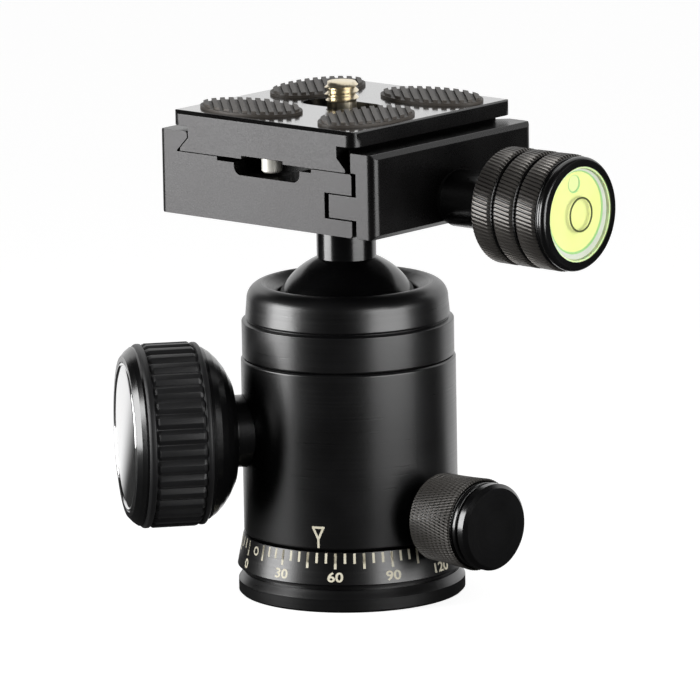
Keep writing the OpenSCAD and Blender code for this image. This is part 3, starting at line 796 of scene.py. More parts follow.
@dataclass
class PanBase(SubAssembly):
    """Base plate, pan bearing and degree ring, with its painted scale and the tripod thread."""

    ring_low: float = 5.3
    ring_low_r: float = 21.15
    ring_top: float = 11.1
    ring_top_r: float = 19.95
    zero_azimuth: float = -117.5
    tick_step: float = 5.0
    long_each: int = 3
    tick_start: float = 0.12
    tick_end: float = 2.0
    long_tick_end: float = 3.0
    tick_width: float = 0.45
    numeral_step: int = 30
    numeral_size: float = 2.45
    numeral_stretch: float = 1.25
    numeral_drop: float = 4.6
    numeral_depth: float = 0.06
    paint: float = 0.02
    mark_azimuth: float = -109.0
    mark_gap: tuple[float, float] = (3.5, 11.5)
    mark_drop: float = 1.6
    mark_r: tuple[float, float] = (0.5, 0.85)
    mark_steps: int = 40
    thread_r: float = 3.97
    thread_pitch: float = 1.5875
    thread_depth: float = 0.75
    thread_length: float = 8.0
    thread_margin: float = 0.3
    bushing_r: float = 6.5

    def build(self) -> None:
        """Dresses the base, paints its scale and cuts its thread."""
        self.dress(ANODISED, "base_plate", "degree_ring")
        self.dress(STEEL, "pan_spindle", "retainer_washer", "retainer_screw")
        self.dress(NYLON, "pan_washer")
        self.add("degree_ticks", self.ticks(), "base", CREAM_PAINT)
        self.add("degree_numerals", self.numerals(), "base", CREAM_PAINT)
        self.add("ring_mark", self.ring_mark(), "base", CREAM_PAINT)
        self.add("tripod_thread", self.tripod_thread(), "base", STEEL, replaces=("thread_bushing",))

    @property
    def lean(self) -> float:
        """How far the ring's face leans back from upright, in radians."""
        return math.atan2(self.ring_low_r - self.ring_top_r, self.ring_top - self.ring_low)

    def on_ring(self, azimuth: float, drop: float, lift: float) -> Vector:
        """A point by the ring's sloping face.

        Args:
            azimuth: Direction from the ring's middle, in degrees.
            drop: How far below the ring's upper edge it is, along the face.
            lift: How far off the face it is.

        Returns:
            The point, in millimetres.
        """
        radius = self.ring_top_r + drop * math.sin(self.lean) + lift * math.cos(self.lean)
        height = self.ring_top - drop * math.cos(self.lean) + lift * math.sin(self.lean)
        turn = math.radians(azimuth)
        return Vector((radius * math.cos(turn), radius * math.sin(turn), height))

    def tick(self, end: float) -> bpy.types.Mesh:
        """One painted tick, at azimuth 0.

        Args:
            end: How far below the ring's upper edge it ends.

        Returns:
            Its mesh, in metres.
        """
        made = bmesh.new()
        half = math.degrees(self.tick_width / 2 / self.ring_top_r)
        start = self.tick_start
        outline = ((-half, start), (half, start), (half, end), (-half, end))
        skin(made, [[made.verts.new(self.on_ring(side, drop, lift)) for side, drop in outline]
                    for lift in (-SUNK, self.paint)])
        bmesh.ops.recalc_face_normals(made, faces=made.faces)
        return to_mesh("tick", made, METRES)

    def ticks(self) -> bpy.types.Mesh:
        """The scale's ticks, each third one longer, without the two where the ring's screw is."""
        scales = []
        for end, each in ((self.tick_end, 1), (self.long_tick_end, self.long_each)):
            count = round(360 / (self.tick_step * each))
            scales.append(repeated(self.tick(end), CREAM_PAINT.material(), count))
        made = joined(scales)
        low, high = self.mark_gap
        blank = [corner for corner in made.verts
                 if low < math.degrees(math.atan2(corner.co.y, corner.co.x)) < high]
        bmesh.ops.delete(made, geom=blank, context="VERTS")
        return to_mesh("ticks", made, Matrix.Rotation(math.radians(self.zero_azimuth), 4, "Z"))

    def numerals(self) -> bpy.types.Mesh:
        """The scale's numbers, bent round the ring."""
        numbers = []
        for value in range(0, 360, self.numeral_step):
            flat = flat_text(str(value), self.numeral_size, self.numeral_depth)
            for corner in flat.verts:
                side, rise, depth = corner.co
                turn = math.degrees(side * self.numeral_stretch / self.ring_low_r)
                corner.co = self.on_ring(self.zero_azimuth + value + turn, self.numeral_drop - rise,
                                         depth - self.numeral_depth + self.paint)
            number = bpy.data.meshes.new("numeral")
            flat.to_mesh(number)
            flat.free()
            numbers.append(number)
        return to_mesh("numerals", joined(numbers), METRES)

    def ring_mark(self) -> bpy.types.Mesh:
        """A small painted ring by the scale, where the ring's setting screw is."""
        inner, outer = self.mark_r
        section = [(inner, -SUNK), (outer, -SUNK), (outer, self.paint), (inner, self.paint)]
        made = lathe(rounded(section, self.paint), self.mark_steps)
        foot = Matrix.Translation(self.on_ring(self.mark_azimuth, self.mark_drop, 0.0))
        turn = Matrix.Rotation(math.radians(self.mark_azimuth), 4, "Z")
        tip = Matrix.Rotation(math.pi / 2 - self.lean, 4, "Y")
        return to_mesh("ring_mark", made, METRES @ foot @ turn @ tip)

    def tripod_thread(self) -> bpy.types.Mesh:
        """The bushing with its thread cut into the wall."""
        length, margin = self.thread_length, self.thread_margin
        rows = round(THREAD_ROWS * length / self.thread_pitch)
        wall = [(self.thread_r, length * (1 - i / rows)) for i in range(rows + 1)]
        shell = lathe([(self.bushing_r, 0), (self.bushing_r, length), *wall])
        return screw_thread().run(to_mesh("bushing", shell, METRES), STEEL.material(), {
            "Wall": self.thread_r * MM, "Pitch": self.thread_pitch * MM,
            "Depth": self.thread_depth * MM, "Start": margin * MM, "End": (length - margin) * MM})


# How far the digits' strokes are widened on each side, in millimetres, and the steps in each curve.
STROKE_GAIN = 0.06
STROKE_STEPS = 3


def flat_text(text: str, size: float, thickness: float) -> bmesh.types.BMesh:
    """Plain upright digits, centred on the origin.

    Args:
        text: What to write.
        size: Height of the font, in millimetres.
        thickness: How thick the digits are, in millimetres.

    Returns:
        The digits as a solid that stands on the plane of X and Y.
    """
    curve = bpy.data.curves.new("digits", "FONT")
    curve.body = text
    curve.size = size
    curve.align_x = "CENTER"
    curve.align_y = "CENTER"
    curve.extrude = thickness / 2
    curve.offset = STROKE_GAIN
    curve.resolution_u = STROKE_STEPS
    shape = bpy.data.objects.new("digits", curve)
    bpy.context.scene.collection.objects.link(shape)
    bpy.context.view_layer.update()
    made = joined([plain(shape)])
    bmesh.ops.translate(made, verts=made.verts, vec=(0, 0, thickness / 2))
    return made


@dataclass
class Housing(SubAssembly):
    """Turning housing with the collar that holds the ball, and its index mark."""

    edge: float = 0.14
    housing_clear: float = 19.0
    collar_clear: float = 15.2
    radius: float = 19.85
    index_azimuth: float = -66.7
    index_foot: float = 12.1
    index_tip: float = 13.5
    index_top: float = 15.7
    index_half: float = 0.98
    line: float = 0.42
    line_steps: int = 4
    paint: float = 0.02

    def build(self) -> None:
        """Dresses the housing and paints the index."""
        for node, clear in (("housing", self.housing_clear), ("collar", self.collar_clear)):
            shape = eased(node, self.edge, clear)
            self.add(f"{node}_eased", shape, "housing", ANODISED, replaces=(node,))
        self.dress(BLACK_NYLON, "upper_seat_ring")
        self.dress(KNOB_GLOSS, "main_bushing", axis=MAIN_AXIS)
        self.add("index_mark", self.index_mark(), "housing", CREAM_PAINT)

    def stroke(self, made: bmesh.types.BMesh, start: tuple[float, float],
               end: tuple[float, float]) -> None:
        """Adds one painted line to a mesh.

        Args:
            made: The mesh.
            start: Side and height where it starts.
            end: Side and height where it ends.
        """
        along = (Vector(end) - Vector(start)).normalized() * self.line / 2
        across = Vector((-along.y, along.x))
        first, last = Vector(start) - along, Vector(end) + along
        section = ((-1, -SUNK), (1, -SUNK), (1, self.paint), (-1, self.paint))
        rows = []
        for i in range(self.line_steps + 1):
            middle = first.lerp(last, i / self.line_steps)
            rows.append([self.on_wall(made, middle + across * side, lift) for side, lift in section])
        skin(made, rows)

    def on_wall(self, made: bmesh.types.BMesh, spot: Vector, lift: float) -> bmesh.types.BMVert:
        """Adds a corner by the housing's wall.

        Args:
            made: Mesh that gets the corner.
            spot: Its side from the index and its height.
            lift: How far off the wall it is.

        Returns:
            The corner.
        """
        turn = math.radians(self.index_azimuth) + spot.x / self.radius
        reach = self.radius + lift
        return made.verts.new((reach * math.cos(turn), reach * math.sin(turn), spot.y))

    def index_mark(self) -> bpy.types.Mesh:
        """An open triangle that points down to the scale, with a line under it."""
        made = bmesh.new()
        left, right = (-self.index_half, self.index_top), (self.index_half, self.index_top)
        tip, foot = (0, self.index_tip), (0, self.index_foot)
        for start, end in ((left, right), (right, tip), (tip, left), (tip, foot)):
            self.stroke(made, start, end)
        bmesh.ops.recalc_face_normals(made, faces=made.faces)
        return to_mesh("index", made, METRES)


@dataclass
class MainKnob(SubAssembly):
    """Main lock: plunger, shaft and the big knob with its ribbed rubber grip.

    The step is the smooth band at the grip's inner end, and the rim the one at its outer end. Where
    they lie is counted from that end of the grip.
    """

    grip_start: float = 27.8
    grip_end: float = 39.8
    grip_r: float = 17.1
    core_r: float = 15.0
    valley: float = 0.75
    step_drop: float = 0.25
    step_at: tuple[float, float, float] = (0.4, 1.1, 1.3)
    rim_drop: float = 0.1
    rim_at: tuple[float, float, float] = (0.5, 1.3, 1.5)
    rim_chamfer: float = 0.5
    sleeve_edge: float = 0.18
    ribs: int = 36
    rib_fill: float = 0.98
    rib_from: float = 1.15
    rib_to: float = 1.35
    rib_edge: float = 0.28
    rib_edge_above: float = 20.0
    disc_r: float = 13.7
    disc_foot: float = 40.9
    disc_edge: float = 41.8
    disc_rise: float = 0.5
    disc_margin: float = 0.75
    disc_rings: int = 12
    bead_width: float = 0.3
    bead_height: float = 0.35
    bead_drop: float = 0.1
    bead_turns: tuple[int, ...] = tuple(range(0, 166, 15))
    round_steps: int = 144

    def build(self) -> None:
        """Dresses the lock and models its disc and grip."""
        self.dress(STEEL, "main_plunger", "main_shaft", axis=MAIN_AXIS)
        self.dress(KNOB_GLOSS, "main_knob_core", "main_knob_bezel", axis=MAIN_AXIS)
        self.add("polished_disc", self.disc(), "main_knob", MIRROR, MAIN_AXIS, ("main_knob_disc",))
        self.add("ribbed_grip", self.grip(), "main_knob", RUBBER, MAIN_AXIS, ("main_knob_grip",))

    def disc(self) -> bpy.types.Mesh:
        """Polished disc with a slight bulge, and a bead round its edge."""
        inner = self.disc_r - self.disc_margin
        rings = self.disc_rings
        crown = [(inner * i / rings, self.disc_edge + self.disc_rise * (1 - (i / (rings + 1)) ** 2))
                 for i in range(rings, -1, -1)]
        bead_r, bead_z = self.disc_r - self.bead_width, self.disc_edge - self.bead_drop
        bead = [(bead_r + self.bead_width * math.cos(turn), bead_z + self.bead_height * math.sin(turn))
                for turn in map(math.radians, self.bead_turns)]
        made = lathe([(0, self.disc_foot), (self.disc_r, self.disc_foot), *bead, *crown],
                     self.round_steps)
        return to_mesh("disc", made, MAIN_AXIS.matrix())

    def grip(self) -> bpy.types.Mesh:
        """Rubber sleeve with a rim at its outer end, a step at its inner end, and ribs between."""
        sleeve = to_mesh("sleeve", self.sleeve(), METRES)
        ribs = repeated(self.soft_rib(), RUBBER.material(MAIN_AXIS), self.ribs)
        return to_mesh("grip", joined([ribs, sleeve]), MAIN_AXIS.matrix(1.0))

    def sleeve(self) -> bmesh.types.BMesh:
        """The sleeve under the ribs, in millimetres."""
        start, end = self.grip_start, self.grip_end
        root, step_r = self.grip_r - self.valley, self.grip_r - self.step_drop
        rim_r, face_r = self.grip_r - self.rim_drop, self.grip_r - self.rim_chamfer
        step_in, step_out, step_foot = (start + at for at in self.step_at)
        rim_out, rim_in, rim_foot = (end - at for at in self.rim_at)
        outline = [
            (self.core_r, start), (root, start), (step_r, step_in), (step_r, step_out),
            (root, step_foot), (root, rim_foot), (rim_r, rim_in), (rim_r, rim_out), (face_r, end),
            (self.core_r, end)]
        return lathe(rounded(outline, self.sleeve_edge), self.round_steps)

    def soft_rib(self) -> bpy.types.Mesh:
        """One rib with rounded edges, in metres."""
        root = self.grip_r - self.valley
        width = self.rib_fill * math.tau * root / self.ribs
        ridge = rib(root, self.grip_start + self.rib_from, self.grip_end - self.rib_to, width,
                    self.valley - self.rim_drop)
        shape = held("rib", to_mesh("rib", ridge, METRES))
        soften = shape.modifiers.new("soften", "BEVEL")
        soften.width = self.rib_edge * MM
        soften.segments = EDGE_STEPS
        soften.limit_method = "ANGLE"
        soften.angle_limit = math.radians(self.rib_edge_above)
        return plain(shape)


@dataclass
class PanKnob(SubAssembly):
    """Pan lock: brass-tipped screw and a knob with a diamond knurl.

    The groove and the band lie between the knurl and the cap, counted back from the body's end.
    """

    start: float = 22.6
    end: float = 35.5
    radius: float = 8.1
    shaft_r: float = 3.0
    chamfer: float = 1.0
    groove_depth: float = 0.35
    groove_at: tuple[float, float, float] = (1.4, 1.3, 1.0)
    band_drop: float = 0.15
    band_at: tuple[float, float] = (0.9, 0.2)
    neck_drop: float = 0.4
    neck_start: float = 0.05
    neck_length: float = 0.6
    socket: float = 1.5
    edge: float = 0.12
    knurls: int = 90
    knurl_from: float = 0.9
    knurl_fill: float = 0.75
    knurl_depth: float = 0.22
    knurl_slant: float = 2.6

    def build(self) -> None:
        """Dresses the lock and models the knurled knob."""
        self.dress(BRASS, "pan_plug", axis=PAN_AXIS)
        self.dress(STEEL, "pan_shaft", axis=PAN_AXIS)
        self.dress(KNOB_GLOSS, "pan_knob_cap", axis=PAN_AXIS)
        self.add("pan_knob_body", self.body(), "pan_knob", KNOB_GLOSS, PAN_AXIS, ("pan_knob",))
        self.add("pan_knob_knurl", self.knurl(), "pan_knob", FINE_KNURL, PAN_AXIS)

    def body(self) -> bpy.types.Mesh:
        """The knob under its knurl, with a fine groove and a band before the cap."""
        root, start, end = self.radius - self.knurl_depth, self.start, self.end
        groove_r, neck_r = root - self.groove_depth, root - self.neck_drop
        band_r = self.radius - self.band_drop
        groove_edge, groove_in, groove_out = (end - at for at in self.groove_at)
        band_in, band_out = (end - at for at in self.band_at)
        neck_in, neck_out, bore = end - self.neck_start, end + self.neck_length, end - self.socket
        made = lathe(rounded([
            (self.shaft_r, start), (root - self.chamfer, start), (root, start + self.chamfer),
            (root, groove_edge), (groove_r, groove_in), (groove_r, groove_out), (band_r, band_in),
            (band_r, band_out), (neck_r, neck_in), (neck_r, neck_out), (0, neck_out), (0, bore),
            (self.shaft_r, bore)], self.edge))
        return to_mesh("pan_knob_body", made, PAN_AXIS.matrix())

    def knurl(self) -> bpy.types.Mesh:
        """Diamond knurl from the chamfer to the groove: ridges that lean both ways and cross."""
        width = self.knurl_fill * math.tau * self.radius / self.knurls
        first, last = self.start + self.knurl_from, self.end - self.groove_at[0]
        both = []
        for slant in (-self.knurl_slant, self.knurl_slant):
            ridge = rib(self.radius - self.knurl_depth, first, last, width, self.knurl_depth, slant)
            mesh = to_mesh("knurl", ridge, METRES)
            both.append(repeated(mesh, FINE_KNURL.material(PAN_AXIS), self.knurls))
        return to_mesh("pan_knurl", joined(both), PAN_AXIS.matrix(1.0))


@dataclass
class Ball(SubAssembly):
    """Ball with its neck, the seat under it and the bolt into the clamp."""

    def build(self) -> None:
        """Dresses the ball and its seat."""
        self.dress(BRASS, "ball_seat")
        self.dress(NYLON, "ball_liner")
        self.dress(BALL_GLOSS, "ball_stem")
        self.dress(STEEL, "clamp_bolt")


@dataclass
class Clamp(SubAssembly):
    """Screw clamp: fixed body, sliding jaw, pins and springs."""

    edge: float = 0.28

    def build(self) -> None:
        """Dresses the clamp and rounds the edges of its two main parts."""
        for node, body in (("clamp_body", "clamp"), ("sliding_jaw", "jaw")):
            mesh = eased(node, self.edge)
            piece = self.add(f"{node}_eased", mesh, body, CLAMP_SATIN, replaces=(node,))
            face_finish(piece, CLAMP_MILLED, *ENDS)
        self.dress(STEEL, "guide_pins", "jaw_springs", axis=CLAMP_AXIS)
        self.dress(BLACK_NYLON, "thrust_washer", axis=CLAMP_AXIS)


# How squarely a face has to face a direction, as a cosine, and how close to the outermost corner it
# has to lie, in millimetres, to count as an outermost flat face.
FACING = 0.99
FACE_BAND = 0.05


def face_finish(piece: bpy.types.Object, finish: Finish, *ways: Vector) -> None:
    """Gives a piece's outermost flat faces a finish of their own.

    Args:
        piece: The piece.
        finish: What the faces look like.
        ways: Directions that the faces look in.
    """
    mesh = piece.data
    mesh.materials.append(finish.material())
    number = len(mesh.materials) - 1
    for way in ways:
        reach = max(corner.co.dot(way) for corner in mesh.vertices) - FACE_BAND * MM
        for face in mesh.polygons:
            if face.normal.dot(way) > FACING and face.center.dot(way) > reach:
                face.material_index = number


# How far a slanting step of length 1 goes along each axis.
DIAGONAL = 0.7071


@dataclass(frozen=True)
class Crescent:
    """A thin crescent of painted shade and refraction under the level's window, widest down and to +Y,
    in millimetres.

    Args:
        name: Name of the piece.
        finish: What it looks like.
        outer: Radius of the outer circle.
        inner: Radius of the inner circle.
        shift: How far the inner circle's centre is moved up and to -Y.
        depth: How far it lies under the window's edge.
        middle: Centre of the outer circle, down and to +Y of the knob's axis.
        faces_at: Where its two faces are, up from that depth.
        steps: Corners on each circle.
    """

    name: str
    finish: Finish
    outer: float
    inner: float
    shift: float
    depth: float
    middle: tuple[float, float] = (0.0, 0.0)
    faces_at: tuple[float, float] = (-0.02, 0.03)
    steps: int = 72

    def circle(self, made: bmesh.types.BMesh, radius: float, moved: float,
               height: float) -> list[bmesh.types.BMVert]:
        """Adds a circle of corners to a mesh.

        Args:
            made: The mesh.
            radius: Radius of the circle.
            moved: How far its centre is moved down, and as far to +Y.
            height: Where it lies along the knob's axis.

        Returns:
            The corners.
        """
        down, aside = (place + moved for place in self.middle)
        turns = [math.tau * i / self.steps for i in range(self.steps)]
        return [made.verts.new((down + radius * math.cos(turn), aside + radius * math.sin(turn), height))
                for turn in turns]

    def mesh(self, window: float) -> bpy.types.Mesh:
        """Builds the closed crescent.

        Args:
            window: Where the window's edge is along the knob's axis.

        Returns:
            Its mesh, in the frame's coordinates.
        """
        made = bmesh.new()
        low_out, low_in, high_out, high_in = (
            self.circle(made, radius, moved, window - self.depth + rise)
            for rise in self.faces_at
            for radius, moved in ((self.outer, 0.0), (self.inner, -DIAGONAL * self.shift)))
        bands = ((low_out, low_in), (low_in, high_in), (high_in, high_out), (high_out, low_out))
        for first, second in bands:
            for i in range(self.steps):
                j = (i + 1) % self.steps
                made.faces.new((first[i], first[j], second[j], second[i]))
        bmesh.ops.recalc_face_normals(made, faces=made.faces)
        return to_mesh("crescent", made, CLAMP_AXIS.matrix())


# Painted shade and refraction: a green and a grey crescent where the cup's wall shows through the
# window, and a green rim round the bubble. They ride on the liquid, so they stay put as the knob turns.
LEVEL_PAINTED_SHADES = (
    Crescent("vial_painted_shade_green", GREEN_PAINTED_SHADE, outer=8.2, inner=7.3, shift=0.7, depth=0.6),
    Crescent("vial_painted_shade_grey", GREY_PAINTED_SHADE, outer=8.2, inner=7.6, shift=0.55, depth=0.57),
    Crescent("bubble_painted_shade_rim", GREEN_PAINTED_SHADE, outer=1.65, inner=1.45, shift=0.2, depth=0.6,
             middle=(-5.6, -0.8)))


@dataclass
class ClampKnob(SubAssembly):
    """Clamp knob with three knurled rings and a bubble level in its end."""

    hub_start: float = 27.15
    hub_r: float = 5.2
    start: float = 38.4
    radius: float = 10.6
    chamfer: float = 0.6
    rings: int = 3
    ring_pitch: float = 5.2
    groove: float = 0.8
    groove_floor: float = 0.3
    groove_depth: float = 0.5
    end_slope: float = 0.3
    edge: float = 0.12
    edge_steps: int = 2
    knurls: int = 88
    knurl_fill: float = 0.95
    knurl_depth: float = 0.4
    knurl_slant: float = 0.9
    shaft_r: float = 3.0
    cup_r: float = 9.0
    cup_floor: float = 51.6
    socket: float = 2.0
    window: float = 55.7
    circle_r: float = 3.05
    circle_half: float = 0.17
    circle_at: tuple[float, float] = (0.2, 0.33)
    circle_steps: int = 72

    def build(self) -> None:
        """Dresses the knob and level, and models the knurls, the level's printed circle, and its painted
        shade and refraction at the rim and round the bubble.
        """
        self.dress(STEEL, "clamp_shaft", axis=CLAMP_AXIS)
        self.dress(KNOB_GLOSS, "knob_bezel", axis=CLAMP_AXIS)
        self.dress(CUP_PLASTIC, "level_cup", axis=CLAMP_AXIS)
        self.dress(FLUID, "level_fluid", axis=CLAMP_AXIS)
        self.dress(BUBBLE, "level_bubble", axis=CLAMP_AXIS)
        self.dress(LENS, "level_lens", axis=CLAMP_AXIS)
        self.add("clamp_knob_body", self.body(), "clamp_knob", KNOB_GLOSS, CLAMP_AXIS, ("clamp_knob",))
        self.add("clamp_knob_knurl", self.knurl(), "clamp_knob", KNURL_BLACK, CLAMP_AXIS)
        self.add("level_circle", self.circle(), "clamp_knob", OLIVE_PAINT, CLAMP_AXIS)
        # Painted shade and refraction at the level's rim and round its bubble.
        for edge in LEVEL_PAINTED_SHADES:
            self.add(edge.name, edge.mesh(self.window), "level_float", edge.finish, CLAMP_AXIS)

    def body(self) -> bpy.types.Mesh:
        """The knob under its knurls, with a groove between the rings."""
        root = self.radius - self.knurl_depth
        floor_r = root - self.groove_depth
        outline = [
            (self.shaft_r, self.hub_start), (self.hub_r, self.hub_start), (self.hub_r, self.start),
            (root - self.chamfer, self.start), (root, self.start + self.chamfer)]
        for ring in range(1, self.rings):
            middle = self.start + ring * self.ring_pitch
            outline += [
                (root, middle - self.groove / 2), (floor_r, middle - self.groove_floor / 2),
                (floor_r, middle + self.groove_floor / 2), (root, middle + self.groove / 2)]
        end, bore = self.start + self.rings * self.ring_pitch, self.cup_floor - self.socket
        outline += [
            (root, end - self.end_slope), (floor_r, end), (self.cup_r, end),
            (self.cup_r, self.cup_floor), (0, self.cup_floor), (0, bore), (self.shaft_r, bore)]
        made = lathe(rounded(outline, self.edge, self.edge_steps))
        return to_mesh("knob", made, CLAMP_AXIS.matrix())

    def knurl(self) -> bpy.types.Mesh:
        """Slanting knurl on each ring."""
        width = self.knurl_fill * math.tau * self.radius / self.knurls
        first = self.start + self.groove / 2
        last = first + self.ring_pitch - self.groove
        root = self.radius - self.knurl_depth
        ridge = rib(root, first, last, width, self.knurl_depth, self.knurl_slant)
        grown = repeated(to_mesh("knurl", ridge, METRES), KNURL_BLACK.material(CLAMP_AXIS),
                         self.knurls, self.rings, self.ring_pitch)
        return to_mesh("clamp_knurl", joined([grown]), CLAMP_AXIS.matrix(1.0))

    def circle(self) -> bpy.types.Mesh:
        """The level's centring circle, printed on the window."""
        inner, outer = self.circle_r - self.circle_half, self.circle_r + self.circle_half
        low, high = (self.window + at for at in self.circle_at)
        section = [(inner, low), (outer, low), (outer, high), (inner, high)]
        made = lathe(section, self.circle_steps)
        return to_mesh("circle", made, CLAMP_AXIS.matrix())


@dataclass
class QuickPlate(SubAssembly):
    """Quick-release plate with its pads, stop screws and camera screw.

    The screw's waist and thread start above the plate's top, and its thread ends below its tip.
    """

    edge: float = 0.25
    pad_edge: float = 0.14
    head_edge: float = 0.15
    middle: float = -0.5
    plate_top: float = 90.9
    ledge_low: float = 86.1
    ledge_high: float = 87.2
    head_cut: float = 0.05
    shank_start: float = 0.1
    screw_r: float = 3.175
    screw_top: float = 95.2
    waist_r: float = 2.7
    waist_end: float = 0.7
    thread_start: float = 0.9
    thread_end: float = 0.55
    thread_over: float = 0.01
    tip_chamfer: float = 0.6
    pitch: float = 1.27
    depth: float = 0.62

    def build(self) -> None:
        """Dresses the plate and models its edges, pads and camera screw."""
        plate = self.add("quick_plate_eased", eased("quick_plate", self.edge), "plate", CLAMP_SATIN,
                         replaces=("quick_plate",))
        face_finish(plate, CLAMP_MILLED, *ENDS)
        face_finish(plate, PLATE_TOP, Vector((0, 0, 1)))
        self.add("grip_pads_eased", eased("grip_pads", self.pad_edge), "plate", PAD_RUBBER,
                 replaces=("grip_pads",))
        self.dress(NICKEL, "stop_screws")
        self.dress(STEEL, "screw_clip")
        self.add("camera_screw_cut", self.camera_screw(), "camera_screw", BRASS,
                 replaces=("camera_screw",))

    def camera_screw(self) -> bpy.types.Mesh:
        """The screw's slotted head, from the CAD node, under a threaded shank."""
        return to_mesh("camera_screw", joined([self.head(), self.shank()]), Matrix.Identity(4))

    def head(self) -> bpy.types.Mesh:
        """The CAD screw up to its ledge, closed where it is cut."""
        head = joined([eased("camera_screw", self.head_edge)])
        cut = bmesh.ops.bisect_plane(
            head, geom=[*head.verts, *head.edges, *head.faces], dist=CUT_WITHIN,
            plane_co=(0, 0, (self.ledge_low - self.head_cut) * MM), plane_no=(0, 0, 1), clear_outer=True)
        rim = [part for part in cut["geom_cut"] if isinstance(part, bmesh.types.BMEdge)]
        bmesh.ops.holes_fill(head, edges=rim)
        return to_mesh("head", head, Matrix.Identity(4))

    def shank(self) -> bpy.types.Mesh:
        """The screw from its ledge to its tip, with the thread cut."""
        start, end = self.plate_top + self.thread_start, self.screw_top - self.thread_end
        rows = math.ceil((end - start) * THREAD_ROWS / self.pitch)
        wall = [(self.screw_r, start + (end - start) * i / rows) for i in range(rows + 1)]
        low = self.ledge_low - self.shank_start
        shank = lathe([
            (0, low), (self.screw_r, low), (self.screw_r, self.ledge_high),
            (self.waist_r, self.ledge_high), (self.waist_r, self.plate_top + self.waist_end), *wall,
            (self.screw_r - self.tip_chamfer, self.screw_top), (0, self.screw_top)])
        threaded = screw_thread().run(to_mesh("shank", shank, METRES), BRASS.material(), {
            "Wall": self.screw_r * MM, "Pitch": self.pitch * MM, "Depth": -self.depth * MM,
            "Start": start * MM, "End": (end + self.thread_over) * MM})
        threaded.transform(Matrix.Translation((self.middle * MM, 0, 0)))
        return threaded


@dataclass(frozen=True)
class SoftBox:
    """A lamp with a plain rectangular face, turned to the object.

    Args:
        name: Name of the lamp.
        azimuth: Direction of the lamp from the object, degrees from +X.
        elevation: Degrees above the horizon.
        distance: Metres from the object.
        size: Width and height in metres.
        radiance: How bright its face is.
    """

    name: str
    azimuth: float
    elevation: float
    distance: float
    size: tuple[float, float]
    radiance: float

    def hang(self, aim: Vector) -> None:
        """Hangs the lamp, out of the camera's sight.

        Args:
            aim: Point that it faces, in metres.
        """
        data = bpy.data.lights.new(self.name, "AREA")
        data.shape = "RECTANGLE"
        data.size, data.size_y = self.size
        data.energy = self.radiance * math.pi * self.size[0] * self.size[1]
        turn, rise = math.radians(self.azimuth), math.radians(self.elevation)
        way = Vector((math.cos(rise) * math.cos(turn), math.cos(rise) * math.sin(turn), math.sin(rise)))
        lamp = bpy.data.objects.new(self.name, data)
        lamp.matrix_world = (Matrix.Translation(way * self.distance + aim)
                             @ way.to_track_quat("Z", "Y").to_matrix().to_4x4())
        lamp.visible_camera = False
        bpy.context.scene.collection.objects.link(lamp)


